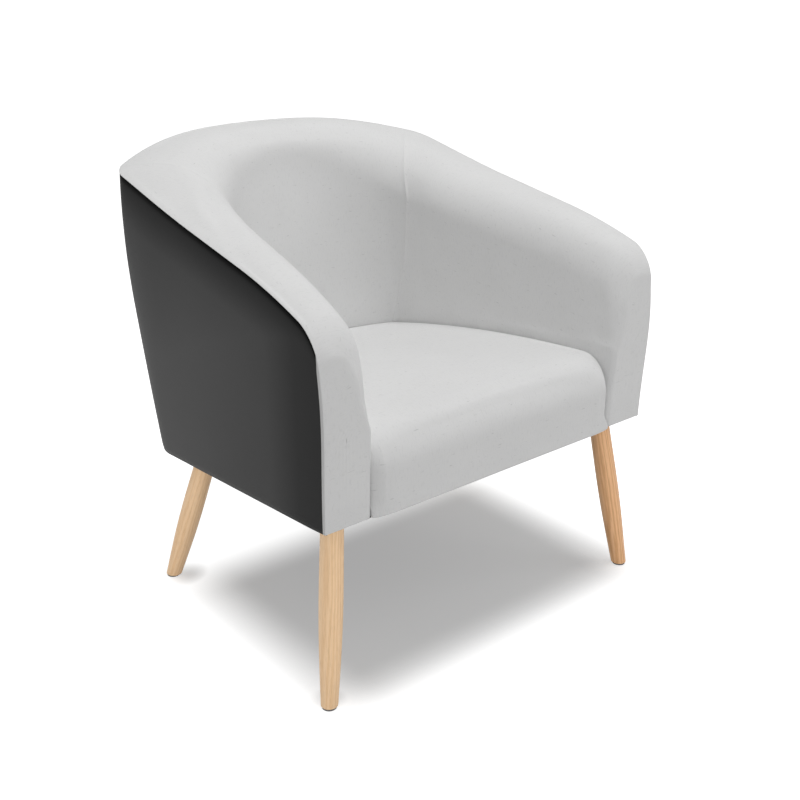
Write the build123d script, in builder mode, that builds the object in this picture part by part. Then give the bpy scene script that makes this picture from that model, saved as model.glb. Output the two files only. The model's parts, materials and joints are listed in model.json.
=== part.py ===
import os
from math import atan2, cos, hypot, radians, sin, sqrt

from build123d import *

os.makedirs("parts", exist_ok=True)

# Upholstered tub armchair on four splayed wooden legs.
# Millimetres, +Z up, front of the chair towards -Y, origin on the floor under the middle of the chair.

# Outer shell
arm_front = -341.0          # Y of the flat fronts of the arms
shell_half_width = 340.5    # outer face of an arm at its front, at the rim
shell_taper = 0.025         # how much each side closes in per mm of depth, at the rim
rim_back = 354.0            # rearmost point of the rim
rim_corner_radius = 57.0
rim_back_radius = 543.0
side_lean = 2.5             # bottom edge of an arm stands this far inside its rim
foot_half_width = shell_half_width - side_lean
foot_back = 282.0           # rearmost point of the bottom edge
foot_corner_radius = 95.0
foot_back_radius = 543.0
corner_bulge = 20.0         # swell of the rear corners between bottom edge and rim
fan_y = 20.0                # Y where the straight arms end and the sections start to turn round the back

# Heights
back_height = 758.0         # top of the back at its middle
arm_rear_height = 672.0     # rim of the arm where the fan begins
rim_wave = (1.7, 3.5)       # easing of the rim round the rear corners
arm_slope = 0.178           # fall of the arm towards the front
arm_droop = 21.0            # extra fall of the arm at its very front
droop_length = 190.0
arm_front_radius = 45.0     # front top corner of the arm seen from the side
base_front_height = 299.5   # bottom edge of the shell at the arm fronts
base_slope = 0.0893         # fall of the bottom edge towards the back

# Soft inner surface of arms and back
arm_top_width = 85.5        # padded arm at its front, along the rim
inner_top_half_width = shell_half_width - arm_top_width
inner_top_taper = 0.1625
inner_top_corner_radius = 150.0
inner_narrowing = 59.0      # inner back is rounder than the half width at the arm fronts by this much
inner_top_back_radius = inner_top_half_width - inner_narrowing
back_top_width = 104.0      # padded back at its middle, along the rim
inner_top_back = rim_back - back_top_width
arm_seat_width = 84.0       # padded arm beside the seat
inner_seat_half_width = foot_half_width - arm_seat_width
inner_seat_taper = 0.113     # the inside also closes in beside the seat, per mm of depth
inner_seat_corner_radius = 24.0
inner_seat_back_radius = 700.0
back_seat_width = 90.0      # padded back behind the seat
inner_seat_back = foot_back - back_seat_width
roll_height = 62.0          # height of the rolled inner edge of arms and back
roll_corner_extra = 26.0    # more roll in the two rear corners
roll_share = 0.54           # share of the top's width taken by the roll
roll_wall_share = 0.6       # most of the inner face's height that the roll may take
crown = 6.0                 # rise of the padded top above its edge
crown_corner_extra = 2.0    # more rise in the two rear corners
crown_bulge = 1.6
edge_radius = 3.0           # rolled outer edge of the light cover
front_roll = 27.0           # rounding of the inner front edge of the arm
seat_front_roll = 8.0       # the same edge beside the seat
seam_angle = 36.0           # where the arm cover meets the back cover, degrees round the fan
seam_gap = 0.05             # degrees between pieces that meet there

# Layers of the shell
cloth = 1.8
leathercloth = 1.5
recess = 2.0                # leathercloth lies this far inside the rolled edge
board = 3.0
arm_panel_thickness = 12.0
back_frame_thickness = 16.0
webbing = 2.0
clear = 0.3                 # gap between neighbouring pieces
soft_clear = 0.8            # gap between foam and the frame it hooks over
thin_gap = 0.1              # gap between flat faces that lie on each other
lip = 4.5                   # light cover turned over the outer edge
frame_drop = 22.0           # frame ends this far below the rim
front_pad = 22.0            # foam in front of the frame

# Seat
seat_overhang = 10.0        # seat stands this far in front of the arms
seat_front = arm_front - seat_overhang
seat_edge_height = 131.0    # seat top above the base plane, beside the arms
seat_crown = 4.0            # more in the middle
seat_rise = 11.0            # bulge of the seat top from front to back
seat_back_fall = 13.0       # seat top lower than that where it meets the back
seat_front_radius = 64.0
seat_side_radius = 8.0
face_start = 6.0            # inner faces of arms and back start to lean this far above the seat's edge
rail_height = 60.0
rail_thickness = 16.0
rear_rail_setback = 164.0   # rear seat rail in front of the rearmost bottom edge
rear_rail_y = foot_back - rear_rail_setback
strap_width = 50.0
strap_count = 4
strap_margin = 4.0          # webbing stays this far from the rails it runs along
strap_inset = 1.0           # webbing ends this far inside the outer face of a side rail
dust_sheet = 1.0

# Back frame
post_width = 5.0            # degrees of the fan taken by each back post
back_rail_height = 58.0
back_strap_count = 3
back_strap_low = 110.0      # lowest back strap above the base plane
back_strap_pitch = 90.0

# Legs
front_foot_inset = 7.0          # foot of a front leg inside the arm's bottom edge
front_foot_setback = 10.0       # and behind the arm front
rear_foot_inset = 8.0
rear_foot_setback = 38.0        # foot of a rear leg behind the rear seat rail
front_foot = (foot_half_width - front_foot_inset, arm_front + front_foot_setback)
rear_foot = (foot_half_width - rear_foot_inset, rear_rail_y + rear_foot_setback)
front_splay = (-0.145, 0.136)   # run of the leg axis per mm of height, towards the middle of the chair
rear_splay = (-0.145, -0.348)
leg_foot_radius = 13.2
leg_top_radius = 19.0
leg_shoulder = 0.55             # share of the height where the taper begins
leg_swell = 0.6                 # slight cigar form of the turned leg
leg_overrun = (-0.12, 1.15)     # shares of the height where the turned leg is cut at an angle
glide_height = 4.0
glide_radius = 11.5
plate_size = 52.0
plate_thickness = 2.5
plate_corner_radius = 6.0
plate_hole_offset = 18.0
bolt_radius = 3.0
bolt_in_leg = 28.0
bolt_in_block = 22.0
screw_radius = 2.0
screw_length = 16.0
screw_head_radius = 3.6
screw_head_height = 2.0
block_size = (64.0, 84.0, 36.0)
nail_radius = 1.5
nail_length = 14.0
nail_recess = 1.0               # nail head above the floor
fit = 0.05                      # radial clearance of screws, bolts and nails
hole_end = 1.0                  # blind holes go this much deeper than what they hold

# Reach of cuts past what they cut, and the middle of a quarter arc
cut_over = 12.0
cut_under = 9.0
diagonal = 0.707

leathercloth_depth = recess + leathercloth
board_in = leathercloth_depth + clear
board_out = board_in + board
frame_in = board_out + clear
panel_out = frame_in + arm_panel_thickness
post_out = frame_in + back_frame_thickness
rail_in = panel_out + 2 * clear
rail_out = rail_in + rail_thickness
deck = rail_height + 2 * thin_gap + webbing
foam_bottom = deck + 2 * thin_gap + webbing + clear
frame_front = arm_front + front_pad
rail_front = frame_front + clear


def base_z(y):
    return base_front_height - base_slope * (y - arm_front)


rim_line = (shell_half_width, shell_taper, rim_corner_radius, rim_back_radius, rim_back)
foot_line = (foot_half_width, 0.0, foot_corner_radius, foot_back_radius, foot_back)
inner_top_line = (
    inner_top_half_width,
    inner_top_taper,
    inner_top_corner_radius,
    inner_top_back_radius,
    inner_top_back,
)
inner_seat_line = (
    inner_seat_half_width,
    inner_seat_taper,
    inner_seat_corner_radius,
    inner_seat_back_radius,
    inner_seat_back,
)


def circle_reach(start_y, angle, centre_x, centre_y, radius):
    """Distance along a ray from (0, start_y) to where it leaves a circle."""
    along = centre_x * cos(angle) + (centre_y - start_y) * sin(angle)
    across = centre_x * sin(angle) - (centre_y - start_y) * cos(angle)
    return along + sqrt(radius**2 - across**2)


def plan(line):
    """Corner centre, ends of the corner arc and centre of the back arc of a plan line."""
    half_width, taper, corner_radius, back_radius, back = line
    run = hypot(1.0, taper)
    side = (-taper / run, 1.0 / run)
    inward = (-side[1], side[0])
    back_centre = back - back_radius
    off_x = half_width + inward[0] * corner_radius
    off_y = arm_front + inward[1] * corner_radius - back_centre
    along = off_x * side[0] + off_y * side[1]
    short = off_x**2 + off_y**2 - (back_radius - corner_radius) ** 2
    length = -along + sqrt(along**2 - short)
    centre = (off_x + side[0] * length, off_y + side[1] * length + back_centre)
    start = (centre[0] - inward[0] * corner_radius, centre[1] - inward[1] * corner_radius)
    stretch = back_radius / hypot(centre[0], centre[1] - back_centre)
    end = (centre[0] * stretch, back_centre + (centre[1] - back_centre) * stretch)
    return centre, start, end, back_centre


def reach(line, start_y, angle):
    """Distance from (0, start_y) to a plan line made of a straight side, a corner arc and a back arc."""
    half_width, taper, corner_radius, back_radius, _ = line
    centre, start, end, back_centre = plan(line)
    turn = min(angle, radians(180) - angle)
    if turn <= atan2(start[1] - start_y, start[0]):
        return (half_width - taper * (start_y - arm_front)) / (cos(turn) + taper * sin(turn))
    if turn <= atan2(end[1] - start_y, end[0]):
        return circle_reach(start_y, turn, centre[0], centre[1], corner_radius)
    return circle_reach(start_y, turn, 0.0, back_centre, back_radius)


def depth_at(line, x):
    """Y of the rear of a plan line at a distance x from the middle."""
    centre, start, end, back_centre = plan(line)
    if abs(x) <= end[0]:
        return back_centre + sqrt(line[3] ** 2 - x**2)
    return centre[1] + sqrt(max(0.0, line[2] ** 2 - (abs(x) - centre[0]) ** 2))


def fan_rim(turn):
    """Rim height round the fan: it climbs from the arm and levels out at the middle of the back."""
    rise = back_height - arm_rear_height - rim_wave[0] + rim_wave[1]
    return arm_rear_height + rise * sin(turn) - rim_wave[0] * sin(3 * turn) - rim_wave[1] * sin(5 * turn)


def arm_rim(y):
    """Rim height along an arm: a straight fall and a droop towards the front."""
    height = arm_rear_height - arm_slope * (fan_y - y)
    droop_start = arm_front + droop_length
    if y < droop_start:
        height -= arm_droop * ((droop_start - y) / droop_length) ** 2
    return height


def rounding(y, radius, inset):
    """How far a rounded front edge draws in at depth y, for a layer this far inside it."""
    within = radius - inset
    short = min(within, max(0.0, radius - (y - arm_front)))
    return within - sqrt(within**2 - short**2)


class Station:
    """A vertical section of the shell: its plane and the plan reach of every surface on it."""

    def __init__(self, start_y, degrees, on_arm, inset=0.0):
        angle = radians(degrees)
        turned = min(degrees, 180.0 - degrees)
        along = (cos(angle), sin(angle))
        self.plane = Plane(
            origin=(0, start_y, 0),
            x_dir=(along[0], along[1], 0),
            z_dir=(along[1], -along[0], 0),
        )
        self.start_y = start_y
        self.lift = along[1]
        self.rim = reach(rim_line, start_y, angle)
        self.foot = reach(foot_line, start_y, angle)
        self.inner_top = reach(inner_top_line, start_y, angle)
        self.inner_seat = reach(inner_seat_line, start_y, angle)
        if on_arm:
            self.inner_top += rounding(start_y, front_roll, inset)
            self.inner_seat += rounding(start_y, seat_front_roll, inset)
            self.rim_z = arm_rim(start_y) - rounding(start_y, arm_front_radius, inset)
        else:
            self.rim_z = fan_rim(radians(turned))
        self.face_z = self.base(self.inner_seat) + seat_edge_height + face_start
        roll = roll_height + roll_corner_extra * sin(2 * radians(turned)) ** 2
        self.roll = min(roll, roll_wall_share * (self.rim_z - self.face_z))
        self.roll_start = (self.rim - self.inner_top) * (1 - roll_share)
        self.crown = crown * cos(radians(turned)) ** 2 + crown_corner_extra * sin(2 * radians(turned)) ** 2
        self.bulge = corner_bulge * sin(2 * radians(turned)) ** 2

    def base(self, distance):
        return base_z(self.start_y + distance * self.lift)

    def height(self, distance, level):
        """Level counts up from the base plane, or down from the rim when it is negative."""
        return self.rim_z + level if level < 0 else self.base(distance) + level

    def outer(self, z):
        low = self.base(self.foot)
        share = (z - low) / (self.rim_z - low)
        return self.foot + (self.rim - self.foot) * share + 4 * self.bulge * share * (1 - share)

    def point(self, depth, level):
        """A point this deep inside the outer face."""
        x = self.outer(self.height(self.foot, level)) - depth
        return (x, self.height(x, level))

    def curve(self, depth, low, high):
        """Control points of the line that runs this deep inside the bulged outer face."""
        start = self.point(depth, low)
        end = self.point(depth, high)
        middle_z = (start[1] + end[1]) / 2
        middle_x = self.outer(middle_z) - depth
        return start, (2 * middle_x - (start[0] + end[0]) / 2, middle_z), end


def arm_run(inset, turn_to):
    """Sections of the right arm from its front to this angle of the fan, for a layer this far inside it."""
    steps = (0.0, 1.0, 3.5, 8.0, 14.0, 21.0, 29.0, 38.0, 50.0, 66.0, 90.0, 125.0, 170.0, 230.0, 295.0)
    straight = [Station(arm_front + inset + d, 0.0, True, inset) for d in steps]
    return straight + fan_stations(0.0, turn_to)


def fan_stations(first, last):
    """Sections round the fan from one angle to another, in degrees."""
    quarter = (0.0, 6.0, 12.0, 17.0, 22.0, 27.5, 33.0, 37.0, 42.0, 48.0, 55.0, 63.0, 72.0, 81.0)
    angles = list(quarter) + [90.0] + [180.0 - a for a in reversed(quarter)]
    inside = [a for a in angles if first + 1.2 < a < last - 1.2]
    return [Station(fan_y, a, False) for a in [first] + inside + [last]]


def whole_section(at):
    """Full padded section with its rolled edge, crown, inner roll and inner face."""
    foot = (at.foot, at.base(at.foot))
    edge_low = (at.rim, at.rim_z - edge_radius)
    edge_top = (at.rim - edge_radius, at.rim_z)
    edge_mid = (at.rim - (1 - diagonal) * edge_radius, at.rim_z - (1 - diagonal) * edge_radius)
    return soft_section(at, [foot, edge_low], edge_mid, edge_top, 0.0, 0.0)


def hollow_section(at):
    """What a cover leaves free: one cloth inside the padded section, open to the outside and below."""
    start = [
        (at.foot + cut_over, at.base(at.foot) - cut_under),
        (at.rim + cut_over, at.rim_z - lip),
        (at.rim - cloth, at.rim_z - lip),
        (at.rim - cloth, at.rim_z - edge_radius),
    ]
    short = (1 - diagonal) * edge_radius + diagonal * cloth
    edge_mid = (at.rim - short, at.rim_z - short)
    edge_top = (at.rim - edge_radius, at.rim_z - cloth)
    return soft_section(at, start, edge_mid, edge_top, cloth, -cut_under)


def foam_section(at, depth, bottom):
    """Foam inside a cover: it hooks over the frame, whose inner face lies at this depth."""
    inset = cloth + clear
    hook = -frame_drop + soft_clear
    back = at.curve(depth, bottom, hook)
    start = [
        back[-1],
        at.point(frame_in, hook),
        at.point(frame_in, -edge_radius - inset),
    ]
    edge_x = start[-1][0]
    edge_mid = (edge_x - (1 - diagonal) * edge_radius, at.rim_z - inset - (1 - diagonal) * edge_radius)
    edge_top = (edge_x - edge_radius, at.rim_z - inset)
    return soft_section(at, start, edge_mid, edge_top, inset, bottom, back)


def front_foam_section(at):
    """Foam in front of the arm panel, over the whole width of the arm."""
    inset = cloth + clear
    start = [
        at.point(frame_in, clear),
        at.point(frame_in, -edge_radius - inset),
    ]
    edge_x = start[-1][0]
    edge_mid = (edge_x - (1 - diagonal) * edge_radius, at.rim_z - inset - (1 - diagonal) * edge_radius)
    edge_top = (edge_x - edge_radius, at.rim_z - inset)
    return soft_section(at, start, edge_mid, edge_top, inset, clear)


def soft_section(at, start, edge_mid, edge_top, inset, bottom, back=None):
    """Close a section from its outer edge over the crown and the roll down to the bottom and its back."""
    roll_x = at.rim - at.roll_start
    roll_top = (roll_x, at.rim_z + at.crown - inset)
    crown_mid = ((edge_top[0] + roll_x) / 2, (edge_top[1] + roll_top[1]) / 2 + crown_bulge)
    inner_x = at.inner_top + inset
    roll_end = (inner_x, at.rim_z - at.roll)
    roll_mid = (
        roll_x + (inner_x - roll_x) * diagonal,
        roll_end[1] + (roll_top[1] - roll_end[1]) * diagonal,
    )
    seat_x = at.inner_seat + inset
    at_seat = (seat_x, at.face_z)
    low = (seat_x, at.base(at.inner_seat) + bottom)
    with BuildSketch(at.plane) as drawn:
        with BuildLine():
            if back:
                Bezier(*back)
            Polyline(*start)
            ThreePointArc(start[-1], edge_mid, edge_top)
            ThreePointArc(edge_top, crown_mid, roll_top)
            ThreePointArc(roll_top, roll_mid, roll_end)
            Polyline(roll_end, at_seat, low, back[0] if back else start[0])
        make_face()
    return drawn.sketch


def wall_section(at, near, far, low, high):
    """Four-sided section between two depths and two levels inside the outer face."""
    near_side = at.curve(near, low, high)
    far_side = at.curve(far, low, high)
    with BuildSketch(at.plane) as drawn:
        with BuildLine():
            Bezier(*near_side)
            Line(near_side[-1], far_side[-1])
            Bezier(*reversed(far_side))
            Line(far_side[0], near_side[0])
        make_face()
    return drawn.sketch


def rail_section(at, near, far, low, high):
    """The same with straight sides, for rails on the arms."""
    with BuildSketch(at.plane) as drawn:
        with BuildLine():
            Polyline(
                at.point(near, low),
                at.point(near, high),
                at.point(far, high),
                at.point(far, low),
                close=True,
            )
        make_face()
    return drawn.sketch


base_tilt = hypot(1.0, base_slope)
base_plane = Plane(
    origin=(0, arm_front, base_front_height),
    x_dir=(1, 0, 0),
    z_dir=(0, base_slope / base_tilt, 1 / base_tilt),
)


def on_base(y):
    """Distance down the base plane to depth y."""
    return (y - arm_front) * base_tilt


deck_length = on_base(rim_back + cut_over) - on_base(frame_front)


def fan_plane(degrees):
    """Radial plane of the fan, its normal turning with the angle."""
    angle = radians(degrees)
    return Plane(origin=(0, fan_y, 0), x_dir=(cos(angle), sin(angle), 0), z_dir=(-sin(angle), cos(angle), 0))


def front_plane(y):
    return Plane(origin=(0, y, 0), x_dir=(1, 0, 0), z_dir=(0, 1, 0))


arm_end = fan_plane(seam_angle - seam_gap)
back_run = fan_stations(seam_angle, 180.0 - seam_angle)
inset = cloth + clear

# Light covers of the arms and the back
with BuildPart() as arm_cover_right:
    loft([whole_section(s) for s in arm_run(0.0, seam_angle)])
    loft([hollow_section(s) for s in arm_run(cloth, seam_angle)], mode=Mode.SUBTRACT)
    split(bisect_by=arm_end, keep=Keep.BOTTOM)
    with BuildSketch(base_plane):
        with Locations((0, on_base(frame_front))):
            Rectangle(2 * shell_half_width, deck_length, align=(Align.CENTER, Align.MIN))
    extrude(amount=foam_bottom, both=True, mode=Mode.SUBTRACT)
arm_cover_right.part.label = "arm_cover_right"
export_step(arm_cover_right.part, "parts/arm_cover_right.step")

with BuildPart() as arm_cover_left:
    mirror(arm_cover_right.part, about=Plane.YZ)
arm_cover_left.part.label = "arm_cover_left"
export_step(arm_cover_left.part, "parts/arm_cover_left.step")

with BuildPart() as back_cover:
    loft([whole_section(s) for s in back_run])
    loft([hollow_section(s) for s in back_run], mode=Mode.SUBTRACT)
    with BuildSketch(base_plane):
        with Locations((0, on_base(frame_front))):
            Rectangle(2 * shell_half_width, deck_length, align=(Align.CENTER, Align.MIN))
    extrude(amount=foam_bottom, both=True, mode=Mode.SUBTRACT)
back_cover.part.label = "back_cover"
export_step(back_cover.part, "parts/back_cover.step")

# Foam of the arms and the back
foam_end = fan_plane(seam_angle - 2 * seam_gap)
behind_pad = front_plane(frame_front)
with BuildPart() as front_pad_right:
    loft([front_foam_section(s) for s in arm_run(inset, seam_angle)])
    split(bisect_by=behind_pad, keep=Keep.BOTTOM)

with BuildPart() as arm_foam_right:
    loft([foam_section(s, panel_out + soft_clear, foam_bottom) for s in arm_run(inset, seam_angle)])
    split(bisect_by=behind_pad, keep=Keep.TOP)
    split(bisect_by=foam_end, keep=Keep.BOTTOM)
    add(front_pad_right.part)
arm_foam_right.part.label = "arm_foam_right"
export_step(arm_foam_right.part, "parts/arm_foam_right.step")

with BuildPart() as arm_foam_left:
    mirror(arm_foam_right.part, about=Plane.YZ)
arm_foam_left.part.label = "arm_foam_left"
export_step(arm_foam_left.part, "parts/arm_foam_left.step")

back_foam_depth = post_out + clear + webbing + soft_clear
with BuildPart() as back_foam:
    loft([foam_section(s, back_foam_depth, foam_bottom) for s in back_run])
back_foam.part.label = "back_foam"
export_step(back_foam.part, "parts/back_foam.step")

# Outside covers of leathercloth and the boards behind them
side_skin = arm_run(inset, seam_angle)
skin_top = -lip - clear
with BuildPart() as outer_cover_right:
    loft([wall_section(s, recess, leathercloth_depth, 0.0, skin_top) for s in side_skin])
    split(bisect_by=arm_end, keep=Keep.BOTTOM)
outer_cover_right.part.label = "outer_cover_right"
export_step(outer_cover_right.part, "parts/outer_cover_right.step")

with BuildPart() as outer_cover_left:
    mirror(outer_cover_right.part, about=Plane.YZ)
outer_cover_left.part.label = "outer_cover_left"
export_step(outer_cover_left.part, "parts/outer_cover_left.step")

with BuildPart() as outer_cover_back:
    loft([wall_section(s, recess, leathercloth_depth, 0.0, skin_top) for s in back_run])
outer_cover_back.part.label = "outer_cover_back"
export_step(outer_cover_back.part, "parts/outer_cover_back.step")

with BuildPart() as side_board_right:
    loft([wall_section(s, board_in, board_out, clear, skin_top) for s in side_skin])
    split(bisect_by=arm_end, keep=Keep.BOTTOM)
side_board_right.part.label = "side_board_right"
export_step(side_board_right.part, "parts/side_board_right.step")

with BuildPart() as side_board_left:
    mirror(side_board_right.part, about=Plane.YZ)
side_board_left.part.label = "side_board_left"
export_step(side_board_left.part, "parts/side_board_left.step")

with BuildPart() as back_board:
    loft([wall_section(s, board_in, board_out, clear, skin_top) for s in back_run])
back_board.part.label = "back_board"
export_step(back_board.part, "parts/back_board.step")

# Leg places on the base plane and everything that fastens there
plate_top = -dust_sheet - 2 * fit - thin_gap
plate_low = plate_top - plate_thickness
leg_top = plate_low - thin_gap


def leg_axis(foot, splay):
    """Plane square to a leg where its axis meets the base plane, and the same spot on the base plane."""
    height = base_z(foot[1]) / (1 + base_slope * splay[1])
    spot = (foot[0] + splay[0] * height, foot[1] + splay[1] * height)
    origin = (spot[0], spot[1], height)
    return Plane(origin=origin, x_dir=(1, 0, -splay[0]), z_dir=(splay[0], splay[1], 1)), spot


front_axis, front_spot = leg_axis(front_foot, front_splay)
rear_axis, rear_spot = leg_axis(rear_foot, rear_splay)
spots = [(side * x, on_base(y)) for side in (1, -1) for x, y in (front_spot, rear_spot)]
screw_spots = [
    (x + i * plate_hole_offset, y + j * plate_hole_offset) for x, y in spots for i in (1, -1) for j in (1, -1)
]
bolt_axes = [
    front_axis,
    rear_axis,
    Plane(
        origin=(-front_spot[0], front_spot[1], front_axis.origin.Z),
        x_dir=(1, 0, front_splay[0]),
        z_dir=(-front_splay[0], front_splay[1], 1),
    ),
    Plane(
        origin=(-rear_spot[0], rear_spot[1], rear_axis.origin.Z),
        x_dir=(1, 0, rear_splay[0]),
        z_dir=(-rear_splay[0], rear_splay[1], 1),
    ),
]
screw_top = screw_length + plate_low
frame_screw_shares = (0.329, 0.536, 0.743)
frame_screw_ys = [arm_front + share * (rear_rail_y - arm_front) for share in frame_screw_shares]
frame_screw_level = rail_height / 2
frame_screw_reach = 9.0


def rail_face(y, level):
    """X of the inner face of the right seat rail at a depth and a level above the base plane."""
    return Station(y, 0.0, True).point(rail_out, level)[0]


frame_screw_planes = [
    Plane(
        origin=(rail_face(y, frame_screw_level) - thin_gap, y, base_z(y) + frame_screw_level),
        x_dir=(0, 1, 0),
        z_dir=(1, 0, 0),
    )
    for y in frame_screw_ys
]

# Arm panels and back frame
with BuildPart() as arm_panel_right:
    loft([wall_section(s, frame_in, panel_out, clear, -frame_drop) for s in side_skin])
    split(bisect_by=front_plane(rail_front), keep=Keep.TOP)
    split(bisect_by=foam_end, keep=Keep.BOTTOM)
    for plane in frame_screw_planes:
        with BuildSketch(plane):
            Circle(screw_radius + fit)
        extrude(amount=rail_thickness + frame_screw_reach + hole_end, mode=Mode.SUBTRACT)
arm_panel_right.part.label = "arm_panel_right"
export_step(arm_panel_right.part, "parts/arm_panel_right.step")

with BuildPart() as arm_panel_left:
    mirror(arm_panel_right.part, about=Plane.YZ)
arm_panel_left.part.label = "arm_panel_left"
export_step(arm_panel_left.part, "parts/arm_panel_left.step")

post_end = seam_angle + post_width
with BuildPart() as back_post_right:
    loft([wall_section(s, frame_in, post_out, clear, -frame_drop) for s in back_run])
    split(bisect_by=fan_plane(post_end), keep=Keep.BOTTOM)
back_post_right.part.label = "back_post_right"
export_step(back_post_right.part, "parts/back_post_right.step")

with BuildPart() as back_post_left:
    mirror(back_post_right.part, about=Plane.YZ)
back_post_left.part.label = "back_post_left"
export_step(back_post_left.part, "parts/back_post_left.step")

with BuildPart() as back_top_rail:
    loft([wall_section(s, frame_in, post_out, -frame_drop - back_rail_height, -frame_drop) for s in back_run])
    split(bisect_by=fan_plane(post_end + seam_gap), keep=Keep.TOP)
    split(bisect_by=fan_plane(180.0 - seam_gap - post_end), keep=Keep.BOTTOM)
back_top_rail.part.label = "back_top_rail"
export_step(back_top_rail.part, "parts/back_top_rail.step")

with BuildPart() as back_lower_rail:
    loft([wall_section(s, frame_in, post_out, clear, back_rail_height) for s in back_run])
    split(bisect_by=fan_plane(post_end + seam_gap), keep=Keep.TOP)
    split(bisect_by=fan_plane(180.0 - seam_gap - post_end), keep=Keep.BOTTOM)
back_lower_rail.part.label = "back_lower_rail"
export_step(back_lower_rail.part, "parts/back_lower_rail.step")

strap_in = post_out + clear
with BuildPart() as back_webbing:
    for i in range(back_strap_count):
        low = back_strap_low + i * back_strap_pitch
        loft([wall_section(s, strap_in, strap_in + webbing, low, low + strap_width) for s in back_run])
back_webbing.part.label = "back_webbing"
export_step(back_webbing.part, "parts/back_webbing.step")

# Seat frame on the base plane
side_rail_front = rail_front + rail_thickness + rail_height * base_slope + clear
rear_rail_end = rear_rail_y + rail_thickness + rail_height * base_slope + clear
rail_run = [Station(y, 0.0, True) for y in (side_rail_front, 0.0, 60.0, rear_rail_y, rear_rail_end)]
with BuildPart() as seat_rail_right:
    loft([rail_section(s, rail_in, rail_out, clear, deck) for s in rail_run], ruled=True)
    with BuildSketch(base_plane):
        with Locations(*screw_spots):
            Circle(screw_radius + fit)
    extrude(amount=screw_top, mode=Mode.SUBTRACT)
    for plane in frame_screw_planes:
        with BuildSketch(plane):
            Circle(screw_radius + fit)
        extrude(amount=rail_thickness + hole_end, both=True, mode=Mode.SUBTRACT)
seat_rail_right.part.label = "seat_rail_right"
export_step(seat_rail_right.part, "parts/seat_rail_right.step")

with BuildPart() as seat_rail_left:
    mirror(seat_rail_right.part, about=Plane.YZ)
seat_rail_left.part.label = "seat_rail_left"
export_step(seat_rail_left.part, "parts/seat_rail_left.step")

front_rail_width = 2 * (foot_half_width - panel_out - clear)
with BuildPart() as seat_rail_front:
    with BuildSketch(base_plane.offset(clear)):
        with Locations((0, on_base(rail_front))):
            Rectangle(front_rail_width, rail_thickness, align=(Align.CENTER, Align.MIN))
    extrude(amount=rail_height - clear)
    with BuildSketch(base_plane):
        with Locations(*screw_spots):
            Circle(screw_radius + fit)
    extrude(amount=screw_top, mode=Mode.SUBTRACT)
seat_rail_front.part.label = "seat_rail_front"
export_step(seat_rail_front.part, "parts/seat_rail_front.step")

rear_rail_half = rail_face(rear_rail_end, deck) - clear
with BuildPart() as seat_rail_rear:
    with BuildSketch(base_plane.offset(clear)):
        with Locations((0, on_base(rear_rail_y))):
            Rectangle(2 * rear_rail_half, rail_thickness, align=(Align.CENTER, Align.MIN))
    extrude(amount=rail_height - clear)
seat_rail_rear.part.label = "seat_rail_rear"
export_step(seat_rail_rear.part, "parts/seat_rail_rear.step")

block_x = rail_face(rear_spot[1] + block_size[1] / 2, block_size[2]) - clear - block_size[0] / 2
block_ys = (on_base(side_rail_front) + block_size[1] / 2, on_base(rear_spot[1]))
with BuildPart() as leg_blocks:
    with BuildSketch(base_plane.offset(clear)):
        with Locations(*[(side * block_x, y) for side in (1, -1) for y in block_ys]):
            Rectangle(block_size[0], block_size[1])
    extrude(amount=block_size[2] - clear)
    with BuildSketch(base_plane):
        with Locations(*screw_spots):
            Circle(screw_radius + fit)
    extrude(amount=screw_top, mode=Mode.SUBTRACT)
    for plane in bolt_axes:
        with BuildSketch(plane):
            Circle(bolt_radius + fit)
        extrude(amount=bolt_in_block + hole_end, both=True, mode=Mode.SUBTRACT)
leg_blocks.part.label = "leg_blocks"
export_step(leg_blocks.part, "parts/leg_blocks.step")

# Elastic webbing of the seat
strap_start = on_base(rail_front)
strap_end = on_base(rear_rail_y) + rail_thickness
strap_half = rail_face(rear_rail_y, foam_bottom) + rail_thickness - strap_inset
long_pitch = 2 * block_x / strap_count
with BuildPart() as seat_webbing_lengthwise:
    with BuildSketch(base_plane.offset(rail_height + thin_gap)):
        with Locations(*[((i - (strap_count - 1) / 2) * long_pitch, strap_start) for i in range(strap_count)]):
            Rectangle(strap_width, strap_end - strap_start, align=(Align.CENTER, Align.MIN))
    extrude(amount=webbing)
seat_webbing_lengthwise.part.label = "seat_webbing_lengthwise"
export_step(seat_webbing_lengthwise.part, "parts/seat_webbing_lengthwise.step")

cross_start = on_base(side_rail_front) + strap_width / 2 + strap_margin
cross_pitch = (strap_end - strap_width - 2 * strap_margin - cross_start) / (strap_count - 1)
with BuildPart() as seat_webbing_crosswise:
    with BuildSketch(base_plane.offset(deck + thin_gap)):
        with Locations(*[(0, cross_start + i * cross_pitch) for i in range(strap_count)]):
            Rectangle(2 * strap_half, strap_width)
    extrude(amount=webbing)
seat_webbing_crosswise.part.label = "seat_webbing_crosswise"
export_step(seat_webbing_crosswise.part, "parts/seat_webbing_crosswise.step")

# Seat foam and cover
seat_half = inner_seat_half_width - clear
seat_rear_half = plan(inner_seat_line)[1][0]
seat_steps = (0.0, 0.16, 0.32, 0.46, 0.58, 0.68, 0.76, 0.82, 0.87, 0.91, 0.94, 0.965, 0.982, 0.993, 1.0)


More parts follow.
